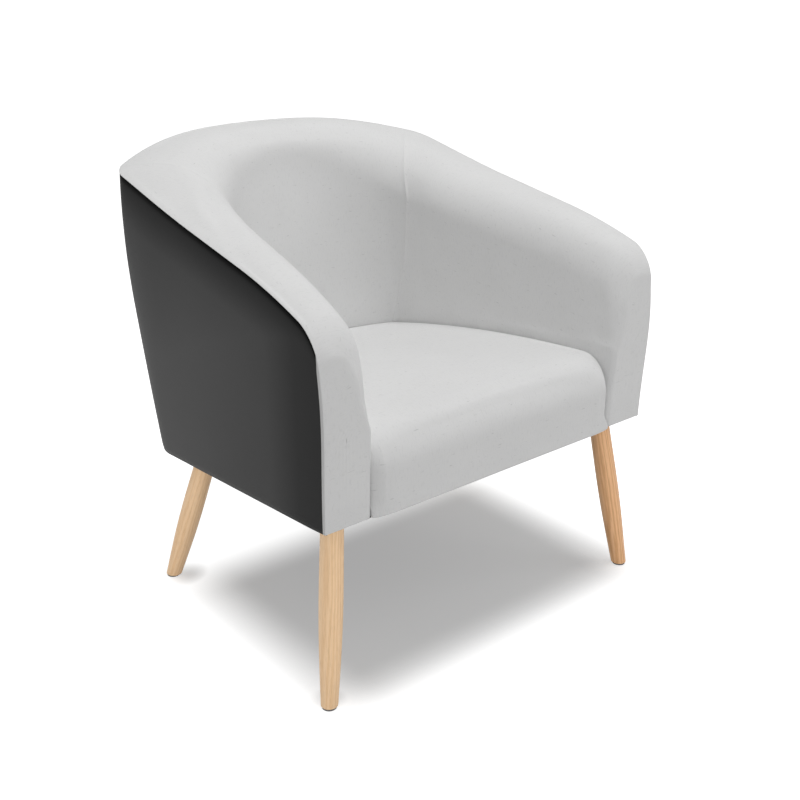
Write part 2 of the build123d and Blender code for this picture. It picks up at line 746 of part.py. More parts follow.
def seat_profile(x, inset):
    """Side view of the padded seat at x: front height, rounded front edge, bulged top and rear edge."""
    half = seat_half - inset
    radius = seat_side_radius - inset
    short = max(0.0, radius - (half - abs(x)))
    pull = inset + radius - sqrt(radius**2 - short**2)
    rise = seat_edge_height + seat_crown * (1 - (x / seat_half) ** 2) - pull
    front = seat_front + pull
    back = depth_at(inner_seat_line, x * seat_rear_half / half) - clear - inset
    front_top = base_z(seat_front) + rise
    round_end = seat_front + seat_front_radius
    top_front = (round_end, front_top - base_slope * seat_front_radius)
    drop = top_front[1] - seat_front_radius + pull
    round_mid = (
        front + (round_end - front) * (1 - diagonal),
        drop + (top_front[1] - drop) * diagonal,
    )
    top_back = (back, base_z(back) + rise - seat_back_fall)
    top_mid = ((round_end + back) / 2, (top_front[1] + top_back[1]) / 2 + seat_rise)
    return front, drop, round_mid, top_front, top_mid, top_back


def seat_plane(x):
    """Upright plane that starts at x between the arm fronts and closes in with them towards the back."""
    lean = inner_seat_taper * x / seat_half
    return Plane(origin=(x + lean * arm_front, 0, 0), x_dir=(-lean, 1, 0), z_dir=(1, lean, 0))


def seat_section(x, inset, below):
    """Closed side view of the seat whose underside lies this far below the base plane."""
    front, drop, round_mid, top_front, top_mid, top_back = seat_profile(x, inset)
    with BuildSketch(seat_plane(x)) as drawn:
        with BuildLine():
            Line((front, base_z(front) - below), (front, drop))
            ThreePointArc((front, drop), round_mid, top_front)
            ThreePointArc(top_front, top_mid, top_back)
            low_back = (top_back[0], base_z(top_back[0]) - below)
            Polyline(top_back, low_back, (front, base_z(front) - below))
        make_face()
    return drawn.sketch


def seat_foam_section(x, inset):
    """The same inside the cover, stepped up behind the front pad to lie on the webbing."""
    front, drop, round_mid, top_front, top_mid, top_back = seat_profile(x, inset)
    step = frame_front - clear
    with BuildSketch(seat_plane(x)) as drawn:
        with BuildLine():
            Line((front, base_z(front) + clear), (front, drop))
            ThreePointArc((front, drop), round_mid, top_front)
            ThreePointArc(top_front, top_mid, top_back)
            Polyline(
                top_back,
                (top_back[0], base_z(top_back[0]) + foam_bottom),
                (step, base_z(step) + foam_bottom),
                (step, base_z(step) + clear),
                (front, base_z(front) + clear),
            )
        make_face()
    return drawn.sketch


def seat_xs(inset):
    """Section places across the seat, closer together towards its sides."""
    half = seat_half - inset
    return [-half * t for t in reversed(seat_steps[1:])] + [half * t for t in seat_steps]


with BuildPart() as seat_foam:
    loft([seat_foam_section(x, inset) for x in seat_xs(inset)])
seat_foam.part.label = "seat_foam"
export_step(seat_foam.part, "parts/seat_foam.step")

with BuildPart() as seat_cover:
    loft([seat_section(x, 0.0, 0.0) for x in seat_xs(0.0)])
    loft([seat_section(x, cloth, cut_under) for x in seat_xs(cloth)], mode=Mode.SUBTRACT)
    with BuildSketch(base_plane):
        with Locations((0, on_base(frame_front))):
            Rectangle(2 * shell_half_width, deck_length, align=(Align.CENTER, Align.MIN))
    extrude(amount=foam_bottom, both=True, mode=Mode.SUBTRACT)
seat_cover.part.label = "seat_cover"
export_step(seat_cover.part, "parts/seat_cover.step")

# Dust cover under the frame
hem = leathercloth_depth
sheet_line = (foot_half_width - hem, 0.0, foot_corner_radius - hem, foot_back_radius - hem, foot_back - hem)
sheet_centre, sheet_start, sheet_end, sheet_back_centre = plan(sheet_line)
corner_mid_angle = (atan2(sheet_end[1] - sheet_centre[1], sheet_end[0] - sheet_centre[0])) / 2
corner_mid = (
    sheet_centre[0] + sheet_line[2] * cos(corner_mid_angle),
    sheet_centre[1] + sheet_line[2] * sin(corner_mid_angle),
)
sheet_front = arm_front + inset
with BuildPart() as dust_cover:
    with BuildSketch(base_plane.offset(-fit)):
        with BuildLine():
            right_front = (sheet_line[0], on_base(sheet_front))
            right_side = (sheet_start[0], on_base(sheet_start[1]))
            right_back = (sheet_end[0], on_base(sheet_end[1]))
            Line(right_front, right_side)
            ThreePointArc(right_side, (corner_mid[0], on_base(corner_mid[1])), right_back)
            ThreePointArc(right_back, (0, on_base(sheet_line[4])), (-right_back[0], right_back[1]))
            ThreePointArc(
                (-right_back[0], right_back[1]),
                (-corner_mid[0], on_base(corner_mid[1])),
                (-right_side[0], right_side[1]),
            )
            Polyline((-right_side[0], right_side[1]), (-right_front[0], right_front[1]), right_front)
        make_face()
        with Locations(*screw_spots):
            Circle(screw_radius + fit, mode=Mode.SUBTRACT)
    extrude(amount=-dust_sheet)
    for plane in bolt_axes:
        with BuildSketch(plane):
            Circle(bolt_radius + fit)
        extrude(amount=cut_over, both=True, mode=Mode.SUBTRACT)
dust_cover.part.label = "dust_cover"
export_step(dust_cover.part, "parts/dust_cover.step")

# Legs with their plates, bolts, screws, glides and nails
with BuildPart() as leg_plates:
    with BuildSketch(base_plane.offset(plate_top)):
        with Locations(*spots):
            RectangleRounded(plate_size, plate_size, plate_corner_radius)
        with Locations(*screw_spots):
            Circle(screw_radius + fit, mode=Mode.SUBTRACT)
    extrude(amount=-plate_thickness)
    for plane in bolt_axes:
        with BuildSketch(plane):
            Circle(bolt_radius + fit)
        extrude(amount=cut_over, both=True, mode=Mode.SUBTRACT)
leg_plates.part.label = "leg_plates"
export_step(leg_plates.part, "parts/leg_plates.step")

with BuildPart() as hanger_bolts:
    for plane in bolt_axes:
        with BuildSketch(plane):
            Circle(bolt_radius)
        extrude(amount=bolt_in_block)
        with BuildSketch(plane):
            Circle(bolt_radius)
        extrude(amount=-bolt_in_leg)
hanger_bolts.part.label = "hanger_bolts"
export_step(hanger_bolts.part, "parts/hanger_bolts.step")

with BuildPart() as plate_screws:
    with BuildSketch(base_plane.offset(plate_low - fit)):
        with Locations(*screw_spots):
            Circle(screw_head_radius)
    extrude(amount=-screw_head_height)
    with BuildSketch(base_plane.offset(plate_low - fit)):
        with Locations(*screw_spots):
            Circle(screw_radius)
    extrude(amount=screw_length)
plate_screws.part.label = "plate_screws"
export_step(plate_screws.part, "parts/plate_screws.step")

with BuildPart() as frame_screws:
    for plane in frame_screw_planes:
        with BuildSketch(plane.offset(-fit)):
            Circle(screw_head_radius)
        extrude(amount=-screw_head_height)
        with BuildSketch(plane.offset(-fit)):
            Circle(screw_radius)
        extrude(amount=rail_thickness + frame_screw_reach)
    mirror(about=Plane.YZ)
frame_screws.part.label = "frame_screws"
export_step(frame_screws.part, "parts/frame_screws.step")


def leg_section(foot, splay, share, height, radius):
    """Round section square to a leg's axis at a share of its height."""
    z = share * height
    centre = (foot[0] + splay[0] * z, foot[1] + splay[1] * z, z)
    with BuildSketch(Plane(origin=centre, x_dir=(1, 0, -splay[0]), z_dir=(splay[0], splay[1], 1))) as drawn:
        Circle(radius)
    return drawn.sketch


leg_taper = 0.9 * (leg_top_radius - leg_foot_radius) / leg_shoulder
leg_shape = (
    (leg_overrun[0], leg_foot_radius + leg_overrun[0] * leg_taper),
    (0.0, leg_foot_radius),
    (leg_shoulder / 2, (leg_foot_radius + leg_top_radius) / 2 + leg_swell),
    (leg_shoulder, leg_top_radius - leg_swell),
    (leg_overrun[1], leg_top_radius),
)

with BuildPart() as leg_front_right:
    loft([leg_section(front_foot, front_splay, t, front_axis.origin.Z, r) for t, r in leg_shape])
    split(bisect_by=Plane.XY.offset(glide_height), keep=Keep.TOP)
    split(bisect_by=base_plane.offset(leg_top), keep=Keep.BOTTOM)
    with BuildSketch(front_axis):
        Circle(bolt_radius + fit)
    extrude(amount=bolt_in_leg + hole_end, both=True, mode=Mode.SUBTRACT)
    with BuildSketch(Plane.XY):
        with Locations(front_foot):
            Circle(nail_radius + fit)
    extrude(amount=nail_length + hole_end, mode=Mode.SUBTRACT)
leg_front_right.part.label = "leg_front_right"
export_step(leg_front_right.part, "parts/leg_front_right.step")

with BuildPart() as leg_front_left:
    mirror(leg_front_right.part, about=Plane.YZ)
leg_front_left.part.label = "leg_front_left"
export_step(leg_front_left.part, "parts/leg_front_left.step")

with BuildPart() as leg_rear_right:
    loft([leg_section(rear_foot, rear_splay, t, rear_axis.origin.Z, r) for t, r in leg_shape])
    split(bisect_by=Plane.XY.offset(glide_height), keep=Keep.TOP)
    split(bisect_by=base_plane.offset(leg_top), keep=Keep.BOTTOM)
    with BuildSketch(rear_axis):
        Circle(bolt_radius + fit)
    extrude(amount=bolt_in_leg + hole_end, both=True, mode=Mode.SUBTRACT)
    with BuildSketch(Plane.XY):
        with Locations(rear_foot):
            Circle(nail_radius + fit)
    extrude(amount=nail_length + hole_end, mode=Mode.SUBTRACT)
leg_rear_right.part.label = "leg_rear_right"
export_step(leg_rear_right.part, "parts/leg_rear_right.step")

with BuildPart() as leg_rear_left:
    mirror(leg_rear_right.part, about=Plane.YZ)
leg_rear_left.part.label = "leg_rear_left"
export_step(leg_rear_left.part, "parts/leg_rear_left.step")

feet = [(side * x, y) for side in (1, -1) for x, y in (front_foot, rear_foot)]
with BuildPart() as glides:
    with BuildSketch(Plane.XY):
        with Locations(*feet):
            Circle(glide_radius)
            Circle(nail_radius + fit, mode=Mode.SUBTRACT)
    extrude(amount=glide_height - fit)
glides.part.label = "glides"
export_step(glides.part, "parts/glides.step")

with BuildPart() as glide_nails:
    with BuildSketch(Plane.XY.offset(nail_recess)):
        with Locations(*feet):
            Circle(nail_radius)
    extrude(amount=nail_length - nail_recess)
glide_nails.part.label = "glide_nails"
export_step(glide_nails.part, "parts/glide_nails.step")
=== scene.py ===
import json
import math

import bpy
import numpy as np
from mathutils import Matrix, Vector


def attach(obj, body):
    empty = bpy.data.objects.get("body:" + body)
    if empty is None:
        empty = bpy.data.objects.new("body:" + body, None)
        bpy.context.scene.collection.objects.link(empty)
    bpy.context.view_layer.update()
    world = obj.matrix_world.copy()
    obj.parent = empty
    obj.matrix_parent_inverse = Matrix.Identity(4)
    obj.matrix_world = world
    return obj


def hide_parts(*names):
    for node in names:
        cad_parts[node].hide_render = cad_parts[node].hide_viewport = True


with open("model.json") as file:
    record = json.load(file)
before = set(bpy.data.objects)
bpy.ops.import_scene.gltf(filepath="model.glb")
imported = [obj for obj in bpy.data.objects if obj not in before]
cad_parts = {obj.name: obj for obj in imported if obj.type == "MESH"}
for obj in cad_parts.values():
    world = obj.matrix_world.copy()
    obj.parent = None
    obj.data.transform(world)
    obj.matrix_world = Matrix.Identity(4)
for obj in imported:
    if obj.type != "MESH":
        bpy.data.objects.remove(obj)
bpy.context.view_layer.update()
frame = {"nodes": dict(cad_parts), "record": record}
nodes = frame["nodes"]
scene = bpy.context.scene
to_metres = 0.001  # from millimetres, in which all shapes are worked out

# Sizes in millimetres, slopes, shares and an angle in degrees, as in the part's source. A line is seen from
# above and given by its half width at the front, its taper, the radius of its corner, the radius of its
# back and how far back it reaches
arm_front = -341.0
fan_y = 20.0
rim_line = (340.5, 0.025, 57.0, 543.0, 354.0)
foot_line = (338.0, 0.0, 95.0, 543.0, 282.0)
inner_top_line = (255.0, 0.1625, 150.0, 196.0, 250.0)
inner_seat_line = (254.0, 0.113, 24.0, 700.0, 192.0)
sheet_line = (334.5, 0.0, 91.5, 539.5, 278.5)
back_height = 758.0
arm_rear_height = 672.0
rim_wave = (1.7, 3.5)
arm_slope = 0.178
arm_droop = 21.0
droop_length = 190.0
arm_front_radius = 45.0
front_roll = 27.0
seat_front_roll = 8.0
base_front_height = 299.5
base_slope = 0.0893
roll_height = 62.0
roll_corner_extra = 26.0
roll_share = 0.54
roll_wall_share = 0.6
crown = 6.0
crown_corner_extra = 2.0
crown_bulge = 1.6
seam_angle = 36.0
leathercloth = 1.5
dust_sheet = 1.0
frame_in = 7.1
panel_out = 19.1
post_out = 23.1
frame_drop = 22.0
front_pad = 22.0
foam_bottom = 64.7
seat_half = 253.7
seat_front = -351.0
seat_edge_height = 131.0
seat_crown = 4.0
seat_rise = 11.0
seat_back_fall = 13.0
seat_front_radius = 64.0
seat_side_radius = 8.0
face_start = 6.0
fan_depth = fan_y - arm_front

# Sizes in millimetres of forms that are finer here than in the source
corner_bulge = 25.0  # swell of the outside in the rear corners
edge_radius = 0.7  # of the light covers' rolled edge
lip = 1.0  # by which that edge overlaps the leathercloth
recess = 0.8  # of the leathercloth behind the edge
front_bow = 5.5  # swell of an arm's padded front
bow_rise = 1.8  # power that lifts the middle of that swell
bow_length = 90.0
front_pinch = 1.8  # by which the shell narrows at its front edge
pinch_length = 50.0
seat_end_radius = 44.0  # length over which the seat's front turns in at its ends
seat_end_turn = 26.0
seat_end_low_share = 0.35  # of that turn at the bottom


def base_z(y):
    return base_front_height - base_slope * (y - arm_front)


def circle_reach(start_y, angle, cx, cy, radius):
    along = cx * math.cos(angle) + (cy - start_y) * math.sin(angle)
    across = cx * math.sin(angle) - (cy - start_y) * math.cos(angle)
    return along + math.sqrt(radius**2 - across**2)


def plan(line):
    """Corner and back arcs of a line seen from above: tapering side, corner, back."""
    half_width, taper, corner_radius, back_radius, back = line
    run = math.hypot(1.0, taper)
    side = (-taper / run, 1.0 / run)
    inward = (-side[1], side[0])
    back_centre = back - back_radius
    off_x = half_width + inward[0] * corner_radius
    off_y = arm_front + inward[1] * corner_radius - back_centre
    along = off_x * side[0] + off_y * side[1]
    short = off_x**2 + off_y**2 - (back_radius - corner_radius) ** 2
    length = -along + math.sqrt(along**2 - short)
    centre = (off_x + side[0] * length, off_y + side[1] * length + back_centre)
    start = (centre[0] - inward[0] * corner_radius, centre[1] - inward[1] * corner_radius)
    stretch = back_radius / math.hypot(centre[0], centre[1] - back_centre)
    end = (centre[0] * stretch, back_centre + (centre[1] - back_centre) * stretch)
    return centre, start, end, back_centre


def reach(line, start_y, angle):
    """Distance from the chair's middle to a line, at an angle round a point on it."""
    half_width, taper, corner_radius, back_radius, _ = line
    centre, start, end, back_centre = plan(line)
    turn = min(angle, math.pi - angle)
    if turn <= math.atan2(start[1] - start_y, start[0]):
        return (half_width - taper * (start_y - arm_front)) / (math.cos(turn) + taper * math.sin(turn))
    if turn <= math.atan2(end[1] - start_y, end[0]):
        return circle_reach(start_y, turn, centre[0], centre[1], corner_radius)
    return circle_reach(start_y, turn, 0.0, back_centre, back_radius)


def depth_at(line, x):
    """How far back a line lies at x, on its back or its corner."""
    centre, _, end, back_centre = plan(line)
    _, _, corner_radius, back_radius, _ = line
    if abs(x) <= end[0]:
        return back_centre + math.sqrt(back_radius**2 - x**2)
    return centre[1] + math.sqrt(max(0.0, corner_radius**2 - (abs(x) - centre[0]) ** 2))


def rounding(depth, radius):
    """How far a rounded edge draws in at a depth behind its front."""
    short = min(radius, max(0.0, radius - depth))
    return radius - math.sqrt(radius**2 - short**2)


def front_fade(depth, length):
    """Share that falls from 1 at the arm's front to 0 at a depth."""
    return max(0.0, 1 - depth / length) ** 2


class Station:
    """A vertical section of the shell: place along the arm, or angle round the fan."""

    def __init__(self, depth, degrees):
        angle = math.radians(degrees)
        turned = math.radians(min(degrees, 180.0 - degrees))
        corner = math.sin(2 * turned) ** 2
        pinch = front_pinch * front_fade(depth, pinch_length)
        self.depth = depth
        self.y = arm_front + depth
        self.degrees = degrees
        self.dir = (math.cos(angle), math.sin(angle))
        self.rim = reach(rim_line, self.y, angle) - pinch
        self.foot = reach(foot_line, self.y, angle) - pinch
        self.inner_top = reach(inner_top_line, self.y, angle) + rounding(depth, front_roll)
        self.inner_seat = reach(inner_seat_line, self.y, angle) + rounding(depth, seat_front_roll)
        if degrees == 0.0:
            height = arm_rear_height - arm_slope * (fan_y - self.y)
            if depth < droop_length:
                height -= arm_droop * ((droop_length - depth) / droop_length) ** 2
            self.rim_z = height - rounding(depth, arm_front_radius)
        else:
            rise = back_height - arm_rear_height - rim_wave[0] + rim_wave[1]
            self.rim_z = (
                arm_rear_height
                + rise * math.sin(turned)
                - rim_wave[0] * math.sin(3 * turned)
                - rim_wave[1] * math.sin(5 * turned)
            )
        self.face_z = self.base(self.inner_seat) + seat_edge_height + face_start
        self.edge_draw = rounding(depth, edge_radius)
        roll = roll_height + roll_corner_extra * corner
        self.roll = min(roll, roll_wall_share * (self.rim_z - self.face_z))
        self.roll_start = (self.rim - self.inner_top) * (1 - roll_share)
        self.crown = crown * math.cos(turned) ** 2 + crown_corner_extra * corner
        self.bulge = corner_bulge * corner

    def base(self, distance):
        return base_z(self.y + distance * self.dir[1])

    def outer(self, z):
        low = self.base(self.foot)
        share = (z - low) / (self.rim_z - low)
        return self.foot + (self.rim - self.foot) * share + 4 * self.bulge * share * (1 - share)

    def point(self, x, z):
        return (x * self.dir[0], self.y + x * self.dir[1], z)


arm_top = Station(0.0, 0.0).rim_z


def bow(depth, z):
    """How far the padded front of an arm swells forward at a depth and height."""
    low = base_z(arm_front)
    share = np.clip((z - low) / (arm_top - low), 0.0, 1.0)
    return front_bow * np.sin(np.pi * share**bow_rise) * front_fade(depth, bow_length)


# Places of the sections, closer together at an arm's front (millimetres) and at a seam (degrees)
front_depths = (0.0, 0.25, 0.6, 1.1, 1.8, 2.8, 4.0, 5.4, 7.0, 9.0, 11.5, 14.5, 18.0, 21.5)
near_depths = np.arange(25.0, 60.0, 4.0)
far_depths = np.arange(60.0, fan_depth - 4.0, 7.0)
first_angle = 1e-6  # just above 0, which stands for the straight part of an arm
corner_angles = np.arange(1.0, seam_angle - 2.0, 1.0)
seam_steps = (0.0, 0.18, 0.4, 0.7, 1.1, 1.6)
back_seam_steps = (*seam_steps, 2.2)
back_margin = 3.2
back_count = 87


def arm_stations():
    angles = [first_angle, *corner_angles, *(seam_angle - step for step in reversed(seam_steps))]
    straight = [Station(depth, 0.0) for depth in (*front_depths, *near_depths, *far_depths)]
    return straight + [Station(fan_depth, angle) for angle in angles]


def back_stations():
    last_seam = 180.0 - seam_angle
    angles = [seam_angle + step for step in back_seam_steps]
    angles += list(np.linspace(seam_angle + back_margin, last_seam - back_margin, back_count))
    angles += [last_seam - step for step in reversed(back_seam_steps)]
    return [Station(fan_depth, angle) for angle in angles]


def steps(count, last=1.0):
    """Evenly spaced values above 0, up to the last."""
    return np.linspace(0.0, last, count + 1)[1:]


# Points of a pad's section: hidden side, turned edge, its rounding, crown, roll, inner face, down, bottom
counts = (25, 4, 7, 16, 24, 36, 12, 3)
hidden_count, turned_count, round_count, crown_count, roll_count, face_count, down_count, _ = counts
marks = np.cumsum((0,) + counts)
edge_first = marks[1]
crown_end, roll_end, face_end, down_end = marks[4:8] - 1
ring_size = marks[8]

# How a pad's section is drawn, in millimetres and shares
closed_front = 6.0  # depth down to which the cover itself closes the hidden side
closed_gap = 0.4
hook_gap = 0.6  # above the frame that a pad hooks over
tuck_shares = (0.7, 0.4, 0.1)
edge_tuck = 0.15
edge_tuck_height = 0.1
bottom_shares = (0.25, 0.5, 0.75)
smooth_first, smooth_last = edge_first + 8, face_end - 3
smooth_passes = 6


def profile(at, hidden_depth):
    """Closed section of an upholstered pad, from its hidden inside over edge, crown and roll to the seat."""
    rim, top = at.rim - at.edge_draw, at.rim_z
    front = at.depth < front_pad - closed_gap
    low, lip_z = at.base(at.foot), top - lip
    lip_x = at.outer(lip_z)
    points = []
    if at.depth < closed_front:
        heights = np.linspace(low, lip_z - closed_gap, hidden_count)
        points += [(at.outer(z) - at.edge_draw, z) for z in heights]
    else:
        wall_count = hidden_count - len(tuck_shares)
        if front:
            points += [(at.outer(z) - frame_in, z) for z in np.linspace(low, lip_z, wall_count)]
        else:
            low_in = at.base(at.outer(low + foam_bottom) - hidden_depth) + foam_bottom
            hook = top - frame_drop + hook_gap
            heights = np.linspace(low_in, hook, wall_count - 2)
            points += [(at.outer(z) - hidden_depth, z) for z in heights]
            points += [(at.outer(hook) - frame_in, hook), (lip_x - frame_in, lip_z)]
        points += [(lip_x - frame_in * share, lip_z) for share in tuck_shares]
    for z in np.linspace(lip_z, top - edge_radius, turned_count):
        points.append((rim - edge_tuck * (z < lip_z + edge_tuck_height), z))
    for a in np.radians(steps(round_count, 90.0)):
        points.append((rim - edge_radius * (1 - math.cos(a)), top - edge_radius * (1 - math.sin(a))))
    roll_x, roll_top = at.rim - at.roll_start, top + at.crown
    edge_x = rim - edge_radius
    for t in steps(crown_count):
        z = top + at.crown * (1 - (1 - t) ** 2) + crown_bulge * math.sin(math.pi * t)
        points.append((edge_x + (roll_x - edge_x) * t, z))
    inner_x, end_z = at.inner_top, top - at.roll
    for a in np.radians(steps(roll_count, 90.0)):
        points.append((roll_x + (inner_x - roll_x) * math.sin(a), end_z + (roll_top - end_z) * math.cos(a)))
    seat_x, seat_z = at.inner_seat, at.face_z
    for t in steps(face_count):
        points.append((inner_x + (seat_x - inner_x) * t, end_z + (seat_z - end_z) * t))
    bottom = 0.0 if front else foam_bottom
    low_z = at.base(seat_x) + bottom
    for t in steps(down_count):
        points.append((seat_x, seat_z + (low_z - seat_z) * t))
    for t in bottom_shares:
        x = seat_x + (points[0][0] - seat_x) * t
        points.append((x, at.base(x) + bottom))
    points = np.array(points)
    soft = slice(smooth_first, smooth_last)
    for _ in range(smooth_passes):
        beside = points[smooth_first - 1 : smooth_last - 1] + points[smooth_first + 1 : smooth_last + 1]
        points[soft] = 0.5 * points[soft] + 0.25 * beside
    return points


def chain_steps(points):
    return np.linalg.norm(np.diff(points, axis=0), axis=1)


def chain_lengths(points):
    """Length along a chain of points, up to each of them."""
    return np.concatenate([[0.0], np.cumsum(chain_steps(points))])


def chain_shares(points):
    return chain_lengths(points) / chain_steps(points).sum()


def ring_lengths(points):
    return chain_lengths(np.vstack([points, points[:1]]))


def closing_faces(points, split):
    """Triangles that close a leaning ring, between its first points and the others."""
    near, far = list(range(split)), list(range(len(points) - 1, split - 1, -1))
    near_at, far_at = chain_shares(points[near]), chain_shares(points[far])
    faces, i, j = [], 0, 0
    while i < len(near) - 1 or j < len(far) - 1:
        if j == len(far) - 1 or (i < len(near) - 1 and near_at[i + 1] <= far_at[j + 1]):
            faces.append((near[i], near[i + 1], far[j]))
            i += 1
        else:
            faces.append((near[i], far[j + 1], far[j]))
            j += 1
    return faces


def grid_mesh(name, rows, uv_u, uv_v, ends, split=0, side=1):
    """Closed rings joined in a row, mirrored for side -1, with UVs in metres and sharp-edged end caps."""
    if side < 0:
        rows = [row * np.array([-1.0, 1.0, 1.0]) for row in rows]
    count, ring = len(rows), len(rows[0])
    verts = np.concatenate(rows) * to_metres
    faces, uvs = [], []
    for i in range(count - 1):
        for j in range(ring):
            k = (j + 1) % ring
            faces.append((i * ring + j, i * ring + k, (i + 1) * ring + k, (i + 1) * ring + j))
            uvs += [(uv_u[i], uv_v[i][j]), (uv_u[i], uv_v[i][j + 1])]
            uvs += [(uv_u[i + 1], uv_v[i + 1][j + 1]), (uv_u[i + 1], uv_v[i + 1][j])]
    for index in ends:
        caps = closing_faces(rows[index], split) if split else [tuple(range(ring))]
        for cap in caps:
            loop = [index * ring + j for j in cap]
            faces.append(loop if index else loop[::-1])
            uvs += [(verts[v][0], verts[v][2]) for v in faces[-1]]
    mesh = bpy.data.meshes.new(name)
    mesh.from_pydata([tuple(v) for v in verts], [], faces)
    layer = mesh.uv_layers.new(name="UVMap")
    layer.data.foreach_set("uv", np.array(uvs, float).ravel())
    mesh.shade_smooth()
    pairs = np.empty(len(mesh.edges) * 2, dtype=np.int32)
    mesh.edges.foreach_get("vertices", pairs)
    on_ring = pairs.reshape(-1, 2) // ring
    hard = np.zeros(len(on_ring), dtype=bool)
    for index in ends:
        hard |= (on_ring == index).all(axis=1)
    mesh.attributes.new("sharp_edge", "BOOLEAN", "EDGE").data.foreach_set("value", hard)
    if side < 0:
        mesh.flip_normals()
    piece = bpy.data.objects.new(name, mesh)
    scene.collection.objects.link(piece)
    return piece


def ease(t):
    t = min(max(t, 0.0), 1.0)
    return t * t * (3 - 2 * t)


# The sewn corner seam leans: degrees by which it leaves its angle at the seat, over a section
lean_rim, lean_roll, lean_face = 1.0, -10.0, -7.0
seam_lean = np.interp(
    np.arange(ring_size),
    [0, edge_first - 1, edge_first, crown_end, roll_end, (roll_end + face_end) / 2, face_end, ring_size],
    [0.0, 0.0, lean_rim, 0.0, lean_roll, lean_face, 0.0, 0.0],
)
lean_steps = np.linspace(lean_roll, lean_rim, 8)
lean_from, lean_to = 8.0, 70.0  # degrees between which the sections lean with the seam

# Groove along that seam in millimetres, shallow on the crown and deep on the inner face
groove_depth = 2.2
groove_width = 3.2
groove_power = 1.3
groove_radius = 200.0  # that turns degrees from the seam into millimetres
crown_groove_share = 0.12
groove_start = crown_end + 4  # point of a section at which it starts to deepen
groove_points = 20.0  # over which it does


def section(at, hidden_depth, groove):
    """Points in space of a pad's section, drawn in where it is sewn."""
    flat = profile(at, hidden_depth)
    tangent = np.gradient(flat, axis=0)
    normal = np.stack([tangent[:, 1], -tangent[:, 0]], axis=1)
    normal /= np.maximum(np.linalg.norm(normal, axis=1, keepdims=True), 1e-9)
    flat = flat + normal * groove[:, None]
    return np.array([at.point(x, z) for x, z in flat])


def leaning_section(at, share, hidden_depth, groove):
    """A pad's section whose points lean by their share of the seam's lean."""
    way = 1.0 if at.degrees < 90.0 else -1.0
    leant = np.array(
        [
            section(Station(at.depth, at.degrees + way * share * step), hidden_depth, groove)
            for step in lean_steps
        ]
    )
    place = (seam_lean - lean_steps[0]) / (lean_steps[1] - lean_steps[0])
    first = np.minimum(place.astype(int), len(lean_steps) - 2)
    part = (place - first)[:, None]
    index = np.arange(ring_size)
    return leant[first, index] * (1 - part) + leant[first + 1, index] * part


def pad_rows(stations, hidden_depth):
    """Sections of a pad with the places of their points along and across the cloth, in metres."""
    index = np.arange(ring_size)
    deepening = np.clip((index - groove_start) / groove_points, 0.0, 1.0)
    sewn = np.where(index < edge_first, 0.0, crown_groove_share + (1 - crown_groove_share) * deepening)
    rows = []
    for at in stations:
        turned = min(at.degrees, 180.0 - at.degrees)
        near = math.radians(abs(turned - seam_angle)) * groove_radius if at.degrees > 0.0 else math.inf
        groove = groove_depth * sewn * math.exp(-((near / groove_width) ** groove_power))
        if turned < seam_angle:
            share = ease((turned - lean_from) / (seam_angle - lean_from))
        else:
            share = ease((lean_to - turned) / (lean_to - seam_angle))
        if share > 0.0:
            row = leaning_section(at, share, hidden_depth, groove)
        else:
            row = section(at, hidden_depth, groove)
            row[:, 1] -= bow(at.depth, row[:, 2])
        rows.append(row)
    us = chain_lengths([row[crown_end] for row in rows]) * to_metres
    lengths = [ring_lengths(row) * to_metres for row in rows]
    return rows, list(us), [v - v[crown_end] for v in lengths]


# Rings of an arm's flat front: shares of the way to its middle line, and that line's ends in millimetres
cap_shares = (0.06, 0.14, 0.26, 0.42, 0.6, 0.8, 1.0)
cap_low, cap_high = 30.0, 42.0
cap_uv_step = 0.003  # metres of cloth from ring to ring


def front_cap_rows(first):
    """Rings that close the flat front of an arm."""
    outer_side = first[:hidden_count]
    inner_side = first[crown_end : down_end + 1][::-1]
    low, high = first[:, 2].min(), first[:, 2].max()
    z = np.clip(first[:, 2], low + cap_low, high - cap_high)
    x_out = np.interp(z, outer_side[:, 2], outer_side[:, 0])
    x_in = np.interp(z, inner_side[:, 2], inner_side[:, 0])
    centre = np.stack([(x_out + x_in) / 2, arm_front - bow(0.0, z), z], axis=1)
    return [first + (centre - first) * share for share in cap_shares]


# Cloth simulation on every third section and second point, its result evened out and capped in millimetres
row_step, point_step = 3, 2
cloth_frames = 20
cloth_settings = {
    "vertex_group_mass": "held",
    "use_pressure": True,
    "uniform_pressure_force": 4.0,
    "tension_stiffness": 40.0,
    "compression_stiffness": 40.0,
    "shear_stiffness": 20.0,
    "bending_stiffness": 2.0,
}
even_passes = 6
swell_limit = 2.5


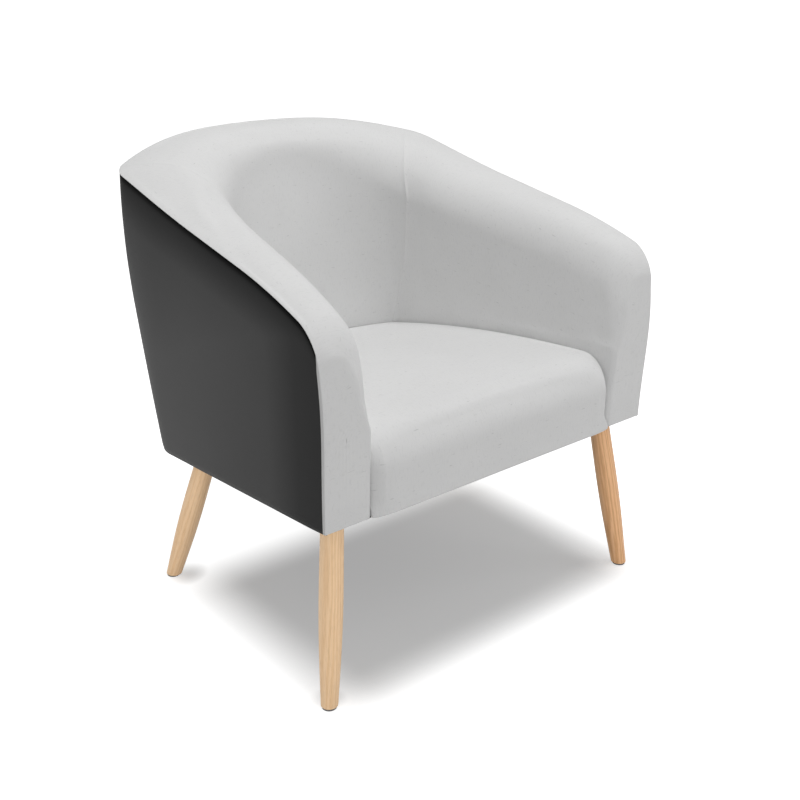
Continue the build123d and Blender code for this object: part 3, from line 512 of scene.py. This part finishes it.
def simulated(start, held):
    """Where a grid of points, in millimetres, ends as cloth under pressure, closed at both ends."""
    count, n = held.shape
    last = (count - 1) * n
    verts = start.reshape(-1, 3) * to_metres
    faces = [
        (a * n + b, a * n + (b + 1) % n, (a + 1) * n + (b + 1) % n, (a + 1) * n + b)
        for a in range(count - 1)
        for b in range(n)
    ]
    faces += [list(range(n))[::-1], list(range(last, last + n))]
    mesh = bpy.data.meshes.new("cloth")
    mesh.from_pydata([tuple(v) for v in verts], [], faces)
    cloth = bpy.data.objects.new("cloth", mesh)
    scene.collection.objects.link(cloth)
    pins = cloth.vertex_groups.new(name="held")
    for v, weight in enumerate(held.ravel()):
        pins.add([v], float(weight), "REPLACE")
    made = cloth.modifiers.new("cloth", "CLOTH")
    for key, value in cloth_settings.items():
        setattr(made.settings, key, value)
    made.settings.effector_weights.gravity = 0.0
    made.point_cache.frame_start = 1
    made.point_cache.frame_end = cloth_frames
    for f in range(1, cloth_frames + 1):
        scene.frame_set(f)
    shaped = cloth.evaluated_get(bpy.context.evaluated_depsgraph_get())
    ended = np.empty(len(verts) * 3)
    shaped.data.vertices.foreach_get("co", ended)
    scene.frame_set(1)
    bpy.data.objects.remove(cloth)
    bpy.data.meshes.remove(mesh)
    return ended.reshape(start.shape) / to_metres


def settle(rows, soft):
    """Rows of a pad after its cloth was simulated over its filling, held along every seam and hidden edge."""
    count, ring = len(rows), len(rows[0])
    some = sorted(set(range(0, count, row_step)) | {count - 1})
    ups = list(range(0, ring, point_step))
    start = np.array([[rows[i][j] for j in ups] for i in some])
    held = np.array([[0.0 if soft(i, j) else 1.0 for j in ups] for i in some])
    free = (1.0 - held)[:, :, None]
    moved = (simulated(start, held) - start) * free
    for _ in range(even_passes):
        wide = np.pad(moved, ((1, 1), (0, 0), (0, 0)), mode="edge")
        near = wide[:-2] + wide[2:] + np.roll(moved, 1, axis=1) + np.roll(moved, -1, axis=1)
        moved = (0.5 * moved + 0.125 * near) * free
    far = np.linalg.norm(moved, axis=2, keepdims=True)
    moved *= swell_limit * np.tanh(far / swell_limit) / np.maximum(far, 1e-9)
    across = np.empty((len(some), ring, 3))
    wrapped = np.concatenate([moved, moved[:, :1]], axis=1)
    for axis in range(3):
        for a in range(len(some)):
            across[a, :, axis] = np.interp(np.arange(ring), ups + [ring], wrapped[a, :, axis])
    result = []
    for i, row in enumerate(rows):
        a = min(np.searchsorted(some, i, side="right") - 1, len(some) - 2)
        part = (i - some[a]) / (some[a + 1] - some[a])
        result.append(row + across[a] * (1 - part) + across[a + 1] * part)
    return result


# Where the cloth of the arms and back is free to swell, and the pads' distance from the frame in millimetres
swell_first, swell_last = edge_first + 12, face_end - 4
arm_held_rows = 4
arm_gap = 0.8
back_gap = 3.2


def make_arm(name, side):
    rows, us, vs = pad_rows(arm_stations(), panel_out + arm_gap)
    last = len(rows) - 1
    rows = settle(rows, lambda i, j: arm_held_rows < i < last and swell_first < j < swell_last)
    cap = front_cap_rows(rows[0])
    us = [us[0] - cap_uv_step * (i + 1) for i in reversed(range(len(cap)))] + us
    vs = [vs[0]] * len(cap) + vs
    rows = cap[::-1] + rows
    return grid_mesh(name, rows, us, vs, [len(rows) - 1], hidden_count, side)


def make_back(name):
    rows, us, vs = pad_rows(back_stations(), post_out + back_gap)
    last = len(rows) - 1
    rows = settle(rows, lambda i, j: 0 < i < last and swell_first < j < swell_last)
    return grid_mesh(name, rows, us, vs, [0, last], hidden_count)


# Seat: points up its front, round its front edge, over its top, down its back and along its bottom
seat_front_count, seat_round_count, seat_top_count, seat_back_count, seat_low_count = 14, 24, 60, 7, 29
seat_gap = 0.3
seat_turn_rise = 2.2  # how soon the turned-in end reaches its full turn on the way up
seat_rear_half = plan(inner_seat_line)[1][0]
seat_middle = 0.9  # share of the half width with evenly spaced sections
seat_middle_count, seat_end_count = 77, 17
seat_swell_first, seat_swell_last = 2, 96


def seat_profile(x):
    """Side view of the seat at x: a closed ring of points from the low front over the top to the low back."""
    from_end = seat_half - abs(x)
    pull = rounding(from_end, seat_side_radius)
    rise = seat_edge_height + seat_crown * (1 - (x / seat_half) ** 2) - pull
    front = seat_front + seat_end_turn * rounding(from_end, seat_end_radius) / seat_end_radius
    back = depth_at(inner_seat_line, x * seat_rear_half / seat_half) - seat_gap
    round_end = seat_front + seat_front_radius
    top_z = base_z(seat_front) + rise - base_slope * seat_front_radius
    drop = top_z - seat_front_radius + pull
    low = base_z(seat_front + (front - seat_front) * seat_end_low_share)
    points = []
    for t in np.linspace(0.0, 1.0, seat_front_count):
        share = seat_end_low_share + (1 - seat_end_low_share) * ease(seat_turn_rise * t)
        points.append((seat_front + (front - seat_front) * share, low + (drop - low) * t))
    for a in np.radians(steps(seat_round_count, 90.0)):
        points.append((round_end - (round_end - front) * math.cos(a), drop + (top_z - drop) * math.sin(a)))
    back_z = base_z(back) + rise - seat_back_fall
    for t in steps(seat_top_count):
        z = top_z + (back_z - top_z) * t + 4 * seat_rise * t * (1 - t)
        points.append((round_end + (back - round_end) * t, z))
    low_back = base_z(back) + foam_bottom
    for t in steps(seat_back_count):
        points.append((back, back_z + (low_back - back_z) * t))
    front_step = arm_front + front_pad - seat_gap
    for t in steps(seat_low_count):
        y = back + (front_step - back) * t
        points.append((y, base_z(y) + foam_bottom))
    for y in (front_step, (front_step + points[0][0]) / 2):
        points.append((y, base_z(y)))
    return np.array(points)


def make_seat(name):
    inner = np.linspace(-seat_middle, seat_middle, seat_middle_count)
    edge = 1.0 - (1.0 - seat_middle) * (1 - np.sin(np.radians(steps(seat_end_count, 90.0))))
    rows, us, vs = [], [], []
    for share in np.concatenate([-edge[::-1], inner, edge]):
        x, lean = seat_half * share, inner_seat_line[1] * share
        flat = seat_profile(x)
        rows.append(np.array([(x + lean * (arm_front - y), y, z) for y, z in flat]))
        us.append(x * to_metres)
        vs.append(ring_lengths(flat) * to_metres)
    last = len(rows) - 1

    def soft(i, j):
        return seat_end_count <= i <= last - seat_end_count and seat_swell_first < j < seat_swell_last

    return grid_mesh(name, settle(rows, soft), us, vs, [0, last])


arm_right = make_arm("arm_pad_right", 1)
arm_left = make_arm("arm_pad_left", -1)
back_pad = make_back("back_pad")
seat_pad = make_seat("seat_pad")


def sheet_mesh(name, outside, inside, us, vs, side=1):
    """Thin closed sheet between two faces given in rows."""
    rows = [np.vstack([out, inn[::-1]]) for out, inn in zip(outside, inside)]
    ring_vs = [[*v, *v[::-1], v[0]] for v in vs]
    return grid_mesh(name, rows, us, ring_vs, [0, len(rows) - 1], side=side)


def cut_size(grid):
    """Cut rectangle and cloth area, in metres, of a sheet given as rows of points in millimetres."""
    grid = np.array(grid) * to_metres
    along = np.linalg.norm(np.diff(grid, axis=0), axis=2).sum(axis=0).max()
    across = np.linalg.norm(np.diff(grid, axis=1), axis=2).sum(axis=1).max()
    a, b, c, d = grid[:-1, :-1], grid[1:, :-1], grid[1:, 1:], grid[:-1, 1:]
    area = np.linalg.norm(np.cross(c - a, d - b), axis=2).sum() / 2
    return (float(across), float(along)), float(area)


# Leathercloth, in millimetres: where it starts, ends and is measured, then depth and width of its grooves
skin_heights = np.concatenate([np.linspace(0.0, 0.9, 40), np.linspace(0.91, 1.0, 20)])
skin_mid = 30
side_start = 0.6
skin_below = 1.0
skin_overlap = 0.5
skin_seam = (0.9, 2.0)
skin_tuck = (0.8, 2.4)
skin_fold = (0.8, 2.0)
# Its distance to the rolled edge, for the painted shade there, counts less towards the front edge
front_per_degree = 6.0
front_shade_start, front_shade_slope, front_shade_share = 25.0, 0.13, 0.55


def dip(groove, distance):
    """Depth of a groove at a distance from its line."""
    depth, width = groove
    return depth * math.exp(-((distance / width) ** 2))


def make_skin(name, stations, side):
    """Stretched leathercloth over the outside, tucked in under the rolled edge and folded at the bottom."""
    outside, inside, vs, edge = [], [], [], []
    for at in stations:
        low, top = at.base(at.foot) - skin_below, at.rim_z - lip + skin_overlap
        turned = min(at.degrees, 180.0 - at.degrees)
        from_front = at.depth - side_start + front_per_degree * turned
        seam = dip(skin_seam, math.radians(abs(turned - seam_angle)) * at.rim)
        front_shade = max(front_shade_start + front_shade_slope * from_front, front_shade_share * from_front)
        heights = low + (top - low) * skin_heights
        row, row_in, edges = [], [], []
        for z in heights:
            tuck = dip(skin_tuck, min(top - z, from_front))
            x = at.outer(z) - recess - max(tuck, seam) - dip(skin_fold, z - low)
            forward = np.array([0.0, bow(at.depth, z) if at.degrees == 0.0 else 0.0, 0.0])
            row.append(np.array(at.point(x, z)) - forward)
            row_in.append(np.array(at.point(x - leathercloth, z)) - forward)
            edges.append(min(top - z, front_shade))
        outside.append(np.array(row))
        inside.append(np.array(row_in))
        edge.append(edges + edges[::-1])
        vs.append(heights * to_metres)
    us = chain_lengths([row[skin_mid] for row in outside]) * to_metres
    piece = sheet_mesh(name, outside, inside, us, vs, side)
    # Distance to the rolled or front edge, which the leathercloth's colour turns into painted shade
    layer = piece.data.attributes.new("edge", "FLOAT", "POINT")
    layer.data.foreach_set("value", np.clip(np.array(edge).ravel() * to_metres, 0.0, 1.0))
    return piece, cut_size(outside)


side_run = [at for at in arm_stations() if at.depth >= side_start]
skin_right, side_cut = make_skin("outer_skin_right", side_run, 1)
skin_left, _ = make_skin("outer_skin_left", side_run, -1)
skin_back, back_cut = make_skin("outer_skin_back", back_stations(), 1)

# Dust sheet, in millimetres: its place under the frame, its sag, the turned edge in its cut, its points
sheet_inset = 3.5
sheet_gap = 0.1
sheet_sag = 3.0
sheet_turn = 3.0
sheet_across, sheet_along = 61, 40


def make_dust_sheet(name):
    """Thin cloth stapled under the frame, sagging a little between the rails."""
    front, half_width = arm_front + sheet_inset, sheet_line[0]
    below, above, us, vs = [], [], [], []
    for x in half_width * np.sin(np.radians(np.linspace(-90.0, 90.0, sheet_across))):
        back = depth_at(sheet_line, x)
        ys = np.linspace(front, back, sheet_along)
        row = []
        for y in ys:
            t = (y - front) / (back - front)
            sag = sheet_sag * (1 - (x / half_width) ** 2) ** 2 * math.sin(math.pi * t) ** 2
            row.append((x, y, base_z(y) - sheet_gap - dust_sheet - sag))
        row = np.array(row)
        below.append(row)
        above.append(row + np.array([0.0, 0.0, dust_sheet]))
        us.append(x * to_metres)
        vs.append(ys * to_metres)
    flat = (2 * half_width * to_metres, (sheet_line[4] - front + sheet_turn) * to_metres)
    return sheet_mesh(name, above, below, us, vs), (flat, cut_size(below)[1])


dust_piece, dust_cut = make_dust_sheet("dust_sheet")


# Materials
def new_material(name):
    material = bpy.data.materials.new(name)
    material.use_nodes = True
    tree = material.node_tree
    tree.nodes.clear()
    out = tree.nodes.new("ShaderNodeOutputMaterial")
    shader = tree.nodes.new("ShaderNodeBsdfPrincipled")
    tree.links.new(shader.outputs[0], out.inputs[0])
    return material, tree, shader


def node(tree, kind, links=None, **values):
    """New node with its settings and constant inputs by name, and its linked inputs by name or number."""
    made = tree.nodes.new(kind)
    for key, value in values.items():
        if hasattr(made, key):
            setattr(made, key, value)
        else:
            made.inputs[key.replace("_", " ")].default_value = value
    for key, source in (links or {}).items():
        tree.links.new(source, made.inputs[key])
    return made


def math_node(tree, operation, first, second):
    return node(tree, "ShaderNodeMath", {0: first, 1: second}, operation=operation).outputs[0]


def noise(tree, vector, **values):
    return node(tree, "ShaderNodeTexNoise", {"Vector": vector}, **values).outputs["Fac"]


def wave(tree, vector, **values):
    return node(tree, "ShaderNodeTexWave", {"Vector": vector}, **values).outputs["Fac"]


def mapped(tree, vector, **values):
    return node(tree, "ShaderNodeMapping", {"Vector": vector}, **values).outputs[0]


def grey(value):
    return (value, value, value)


def ramp(tree, source, stops):
    """Colours, or greys given as one number, over the value of a socket."""
    made = tree.nodes.new("ShaderNodeValToRGB")
    tree.links.new(source, made.inputs[0])
    elements = made.color_ramp.elements
    while len(elements) < len(stops):
        elements.new(0.5)
    for element, (place, colour) in zip(elements, stops):
        element.position = place
        element.color = (*(grey(colour) if isinstance(colour, float) else colour), 1.0)
    return made.outputs[0]


def multiplied(tree, colour, factors):
    """A colour, or a socket with one, multiplied by other sockets."""
    for factor in factors:
        mix = node(tree, "ShaderNodeMix", data_type="RGBA", blend_type="MULTIPLY", Factor=1.0)
        first, second = [s for s in mix.inputs if s.type == "RGBA"]
        if isinstance(colour, tuple):
            first.default_value = (*colour, 1.0)
        else:
            tree.links.new(colour, first)
        tree.links.new(factor, second)
        colour = [s for s in mix.outputs if s.type == "RGBA"][0]
    return colour


def complete(tree, shader, links, relief, strength, distance, **constants):
    """Links and constants of a shader, with a relief in its surface."""
    bump = node(tree, "ShaderNodeBump", {"Height": relief}, Strength=strength, Distance=distance)
    tree.links.new(bump.outputs[0], shader.inputs["Normal"])
    for key, source in links.items():
        tree.links.new(source, shader.inputs[key])
    for key, value in constants.items():
        shader.inputs[key.replace("_", " ")].default_value = value


def fabric(name, colour):
    """Plain-woven linen-like cloth: fine weave, slubs in the yarn and slow changes of tone."""
    material, tree, shader = new_material(name)
    uv = node(tree, "ShaderNodeUVMap", uv_map="UVMap").outputs[0]
    warp, weft = [
        wave(tree, uv, bands_direction=axis, Scale=330.0, Distortion=1.2, Detail=2.0) for axis in "XY"
    ]
    weave = math_node(tree, "MULTIPLY", warp, weft)
    slub, slub_v = [
        noise(tree, mapped(tree, uv, Scale=scale), Scale=1.0, Detail=2.0, Roughness=0.5)
        for scale in ((70.0, 420.0, 1.0), (420.0, 90.0, 1.0))
    ]
    broad = noise(tree, uv, Scale=9.0, Detail=4.0, Roughness=0.6)
    factors = [
        ramp(tree, slub, [(0.0, 0.7), (0.25, 0.8), (0.3, 0.94), (0.335, 1.0)]),
        ramp(tree, slub_v, [(0.0, 0.9), (0.3, 0.955), (0.45, 1.0)]),
        ramp(tree, broad, [(0.3, 0.975), (0.7, 1.0)]),
        ramp(tree, weave, [(0.0, 0.94), (0.6, 1.0)]),
    ]
    complete(
        tree,
        shader,
        {"Base Color": multiplied(tree, colour, factors)},
        relief=math_node(tree, "ADD", weave, slub),
        strength=0.35,
        distance=0.0004,
        Roughness=0.95,
        Specular_IOR_Level=0.12,
        Sheen_Weight=0.12,
        Sheen_Roughness=0.5,
    )
    return material


# Grey of the leathercloth over its distance to the rolled edge in metres: painted shade, near black just
# under that edge and paler away from it
painted_shade_tones = [
    (0.0, 0.0005),
    (0.005, 0.0008),
    (0.007, 0.0067),
    (0.009, 0.02),
    (0.011, 0.034),
    (0.014, 0.047),
    (0.02, 0.055),
    (0.03, 0.065),
    (0.075, 0.126),
    (0.14, 0.146),
    (0.3, 0.194),
]


def leathercloth_material(name):
    """Smooth coated cloth: fine grain, satin gloss, and painted shade that darkens it towards the rolled
    edge.
    """
    material, tree, shader = new_material(name)
    uv = node(tree, "ShaderNodeUVMap", uv_map="UVMap").outputs[0]
    grain = node(tree, "ShaderNodeTexVoronoi", {"Vector": uv}, Scale=900.0).outputs["Distance"]
    broad = noise(tree, uv, Scale=5.0, Detail=3.0)
    edge = node(tree, "ShaderNodeAttribute", attribute_name="edge").outputs["Fac"]
    cloud = ramp(tree, broad, [(0.3, 0.92), (0.7, 1.0)])
    links = {
        # Painted shade in the base colour, darkest next to the rolled edge
        "Base Color": multiplied(tree, ramp(tree, edge, painted_shade_tones), [cloud]),
        "Roughness": ramp(tree, broad, [(0.3, 0.5), (0.7, 0.58)]),
    }
    complete(tree, shader, links, grain, strength=0.12, distance=0.0003, Specular_IOR_Level=0.012)
    return material


def wood(name, axis, pale, dark, scale=1.0, rough=0.42):
    """Wood with its grain along an axis: growth rings as long streaks, pores and a slow change of tone."""
    material, tree, shader = new_material(name)
    place = node(tree, "ShaderNodeTexCoord").outputs["Object"]
    turn = Vector(axis).normalized().rotation_difference(Vector((0, 0, 1))).to_euler()
    upright = mapped(tree, place, vector_type="POINT", Rotation=turn)
    stretched = mapped(tree, upright, Scale=(1.0, 1.0, 0.07))
    rings = wave(
        tree,
        stretched,
        wave_type="BANDS",
        bands_direction="X",
        Scale=60.0 * scale,
        Distortion=6.0,
        Detail=3.0,
        Detail_Scale=2.0,
    )
    fine = noise(tree, stretched, Scale=900.0 * scale, Detail=3.0)
    broad = noise(tree, stretched, Scale=35.0 * scale, Detail=3.0)
    between = tuple(p * 0.65 + d * 0.35 for p, d in zip(pale, dark))
    tone = ramp(tree, rings, [(0.0, dark), (0.5, between), (1.0, pale)])
    streak = ramp(tree, fine, [(0.3, 0.88), (0.5, 1.0)])
    cloud = ramp(tree, broad, [(0.3, 0.9), (0.7, 1.0)])
    links = {
        "Base Color": multiplied(tree, tone, [streak, cloud]),
        "Roughness": ramp(tree, fine, [(0.3, rough + 0.12), (0.6, rough)]),
    }
    complete(tree, shader, links, fine, strength=0.1, distance=0.0003, Specular_IOR_Level=0.35)
    return material


def speckled(name, low, high, scale, rough, metallic=0.0, relief=0.0002):
    """Moulded plastic, coated metal, board or felt: fine mottling in tone, gloss and relief."""
    material, tree, shader = new_material(name)
    place = node(tree, "ShaderNodeTexCoord").outputs["Object"]
    fine = noise(tree, place, Scale=scale, Detail=4.0)
    links = {
        "Base Color": ramp(tree, fine, [(0.35, low), (0.65, high)]),
        "Roughness": ramp(tree, fine, [(0.3, rough), (0.7, min(1.0, rough + 0.12))]),
    }
    complete(tree, shader, links, fine, strength=0.2, distance=relief, Metallic=metallic)
    return material


def strap_material(name):
    """Woven elastic webbing: diagonal ribs of paler yarns."""
    material, tree, shader = new_material(name)
    place = node(tree, "ShaderNodeTexCoord").outputs["Object"]
    ribs = wave(tree, place, bands_direction="DIAGONAL", Scale=260.0, Distortion=0.6)
    tone = ramp(tree, ribs, [(0.0, (0.012, 0.012, 0.013)), (1.0, (0.05, 0.05, 0.052))])
    complete(tree, shader, {"Base Color": tone}, ribs, strength=0.4, distance=0.0005, Roughness=0.9)
    return material


def paint(piece, material):
    piece.data.materials.clear()
    piece.data.materials.append(material)


# Directions of the legs, by which their grain runs
splay, front_rake, rear_rake = 0.145, 0.136, -0.348
ash_pale, ash_dark = (0.88, 0.615, 0.375), (0.8, 0.53, 0.3)
# Painted shade: the front right leg's wood is darker and more orange. Painted light: the rear left leg's wood
# is paler.
shaded_leg_pale, shaded_leg_dark = (0.83, 0.49, 0.26), (0.65, 0.35, 0.16)
lit_leg_pale, lit_leg_dark = (0.95, 0.66, 0.405), (0.87, 0.575, 0.325)
leg_woods = {
    "leg_front_right": wood("leg_wood_front_right_painted_shade", (-splay, front_rake, 1.0), shaded_leg_pale, shaded_leg_dark),
    "leg_front_left": wood("leg_wood_front_left", (splay, front_rake, 1.0), ash_pale, ash_dark),
    "leg_rear_right": wood("leg_wood_rear_right", (-splay, rear_rake, 1.0), ash_pale, ash_dark),
    "leg_rear_left": wood("leg_wood_rear_left_painted_light", (splay, rear_rake, 1.0), lit_leg_pale, lit_leg_dark),
}
frame_look = {"pale": (0.58, 0.42, 0.25), "dark": (0.42, 0.28, 0.15), "scale": 0.6, "rough": 0.6}
node_finishes = (
    (
        wood("frame_wood_lengthwise", (0, 1, -base_slope), **frame_look),
        ("arm_panel_left", "arm_panel_right", "seat_rail_left", "seat_rail_right", "leg_blocks"),
    ),
    (
        wood("frame_wood_upright", (0, 0, 1), **frame_look),
        ("back_post_left", "back_post_right"),
    ),
    (
        wood("frame_wood_across", (1, 0, 0), **frame_look),
        ("back_top_rail", "back_lower_rail", "seat_rail_front", "seat_rail_rear"),
    ),
    (
        speckled("hardboard", (0.13, 0.07, 0.035), (0.2, 0.12, 0.06), scale=700.0, rough=0.7),
        ("side_board_left", "side_board_right", "back_board"),
    ),
    (
        strap_material("webbing"),
        ("back_webbing", "seat_webbing_lengthwise", "seat_webbing_crosswise"),
    ),
    (
        speckled("plate_steel", grey(0.01), grey(0.02), scale=900.0, rough=0.42),
        ("leg_plates",),
    ),
    (
        speckled(
            "fastener_steel", (0.45, 0.45, 0.44), (0.6, 0.6, 0.58), scale=600.0, rough=0.3, metallic=1.0
        ),
        ("hanger_bolts", "plate_screws", "frame_screws", "glide_nails"),
    ),
    (
        speckled("glide_plastic", (0.17, 0.17, 0.175), (0.21, 0.21, 0.215), scale=800.0, rough=0.5),
        ("glides",),
    ),
)
for name, material in leg_woods.items():
    paint(nodes[name], material)
for material, names in node_finishes:
    for name in names:
        paint(nodes[name], material)

light_cloth = fabric("light_fabric", (0.86, 0.86, 0.857))
dark_cloth = leathercloth_material("dark_leathercloth")
for piece in (arm_right, arm_left, back_pad, seat_pad):
    paint(piece, light_cloth)
for piece in (skin_right, skin_left, skin_back):
    paint(piece, dark_cloth)
felt = speckled("dust_fabric", grey(0.006), grey(0.014), scale=1500.0, rough=0.9, relief=0.0004)
paint(dust_piece, felt)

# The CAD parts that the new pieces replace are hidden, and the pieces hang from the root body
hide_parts("arm_cover_right", "arm_foam_right")
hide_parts("arm_cover_left", "arm_foam_left")
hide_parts("back_cover", "back_foam")
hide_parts("seat_cover", "seat_foam")
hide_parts("outer_cover_right")
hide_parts("outer_cover_left")
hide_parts("outer_cover_back")
for piece in (arm_right, arm_left, back_pad, seat_pad):
    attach(piece, "root")
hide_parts("dust_cover")
for piece, cut, under in (
    (skin_right, side_cut, "side_board_right"),
    (skin_left, side_cut, "side_board_left"),
    (skin_back, back_cut, "back_board"),
    (dust_piece, dust_cut, "seat_rail_front"),
):
    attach(piece, "root")


# Floor, light and camera, in metres
def background_rays(tree):
    """Share of a ray that shows the white background: seen directly, mirrored or through glass."""
    path = node(tree, "ShaderNodeLightPath")
    shown = path.outputs["Is Camera Ray"]
    for kind in ("Is Glossy Ray", "Is Transmission Ray"):
        shown = math_node(tree, "MAXIMUM", shown, path.outputs[kind])
    return shown


def map_range(tree, value, **values):
    return node(tree, "ShaderNodeMapRange", {"Value": value}, **values).outputs[0]


floor_half = 30.0
# The floor's white is lowered in a soft rectangle under the chair, a painted shadow inside which the chair's
# real shadow shows, given by middle and half width on an axis
shade_sides = (("X", 0.015, 0.308), ("Y", -0.126, 0.216))
shade_inside, shade_outside = 0.06, 0.1
shade_level = 0.28
# And near each foot, a little towards the chair's middle, as painted contact shadows
foot_shift = (0.028, 0.02)
foot_radius = 0.06
foot_shade = 0.75


def make_floor(name):
    corners = [(x * floor_half, y * floor_half, 0) for x, y in ((-1, -1), (1, -1), (1, 1), (-1, 1))]
    mesh = bpy.data.meshes.new(name)
    mesh.from_pydata(corners, [], [(0, 1, 2, 3)])
    piece = bpy.data.objects.new(name, mesh)
    scene.collection.objects.link(piece)
    material, tree, shader = new_material(name)
    shader.inputs["Roughness"].default_value = 1.0
    shader.inputs["Specular IOR Level"].default_value = 0.0
    seen = background_rays(tree)
    tree.links.new(ramp(tree, seen, [(0.0, 0.96), (1.0, 0.6)]), shader.inputs["Base Color"])
    place = node(tree, "ShaderNodeTexCoord").outputs["Object"]
    axes = node(tree, "ShaderNodeSeparateXYZ", {"Vector": place})
    fades = []
    for axis, middle, half in shade_sides:
        off = node(tree, "ShaderNodeMath", {0: axes.outputs[axis]}, operation="SUBTRACT")
        off.inputs[1].default_value = middle
        size = node(tree, "ShaderNodeMath", {0: off.outputs[0]}, operation="ABSOLUTE").outputs[0]
        fades.append(
            map_range(
                tree,
                size,
                interpolation_type="SMOOTHSTEP",
                From_Min=half - shade_inside,
                From_Max=half + shade_outside,
                To_Min=1.0,
                To_Max=0.0,
            )
        )
    shade = math_node(tree, "MULTIPLY", *fades)
    for mount in frame["record"]["mounts"]:
        x, y, _ = mount["pos_m"]
        off = node(tree, "ShaderNodeVectorMath", {0: place}, operation="DISTANCE")
        off.inputs[1].default_value = (
            x - math.copysign(foot_shift[0], x),
            y - math.copysign(foot_shift[1], y),
            0.0,
        )
        close = map_range(
            tree,
            off.outputs["Value"],
            interpolation_type="SMOOTHSTEP",
            From_Min=0.0,
            From_Max=foot_radius,
            To_Min=foot_shade,
            To_Max=0.0,
        )
        shade = math_node(tree, "MAXIMUM", shade, close)
    # Lower white glow over the rectangle and round the feet: painted shadow on the floor
    level = map_range(tree, shade, To_Min=1.0, To_Max=shade_level)
    glow = node(tree, "ShaderNodeEmission", {"Strength": math_node(tree, "MULTIPLY", level, seen)})
    both = node(tree, "ShaderNodeAddShader", {0: shader.outputs[0], 1: glow.outputs[0]})
    out = [n for n in tree.nodes if n.type == "OUTPUT_MATERIAL"][0]
    tree.links.new(both.outputs[0], out.inputs[0])
    paint(piece, material)
    return piece


floor = make_floor("floor")

sky_light = 0.322
world = bpy.data.worlds.new("studio")
scene.world = world
world.use_nodes = True
sky = world.node_tree
sky.nodes.clear()
soft, white = [
    node(sky, "ShaderNodeBackground", Color=(1.0, 1.0, 1.0, 1.0), Strength=strength).outputs[0]
    for strength in (sky_light, 1.0)
]
chosen = node(sky, "ShaderNodeMixShader", {0: background_rays(sky), 1: soft, 2: white})
node(sky, "ShaderNodeOutputWorld", {0: chosen.outputs[0]})


def lamp(name, place, target_height, size, power):
    """Round soft lamp that points at a height in the chair's middle."""
    data = bpy.data.lights.new(name, "AREA")
    data.shape = "DISK"
    data.size = size
    data.energy = power
    made = bpy.data.objects.new(name, data)
    made.location = place
    aim = Vector((0, 0, target_height)) - Vector(place)
    made.rotation_euler = aim.to_track_quat("-Z", "Y").to_euler()
    scene.collection.objects.link(made)
    return made


lamp("top_lamp", (0.0, -0.1, 3.4), target_height=0.4, size=0.9, power=37.0)
lamp("right_lamp", (1.8, -1.6, 1.6), target_height=0.5, size=1.4, power=6.7)
lamp("front_lamp", (-0.3, -2.6, 1.3), target_height=0.5, size=1.4, power=7.7)
leg_lamps = [
    lamp("leg_lamp_left", (-3.3, -0.6, 0.6), target_height=0.15, size=1.4, power=30.0),
    lamp("leg_lamp_front", (0.5, -3.4, 0.6), target_height=0.15, size=1.4, power=23.0),
]
legs_only = bpy.data.collections.new("legs")
for name in leg_woods:
    legs_only.objects.link(nodes[name])
for fill in leg_lamps:
    fill.light_linking.receiver_collection = legs_only

camera_data = bpy.data.cameras.new("camera")
camera_data.sensor_width = 36.0
camera_data.lens = 48.84
camera = bpy.data.objects.new("camera", camera_data)
camera.location = (-1.092, -1.4315, 1.05)
camera.rotation_euler = Vector((0.5844, 0.7162, -0.3817)).to_track_quat("-Z", "Y").to_euler()
scene.collection.objects.link(camera)
scene.camera = camera
scene.view_settings.view_transform = "Standard"
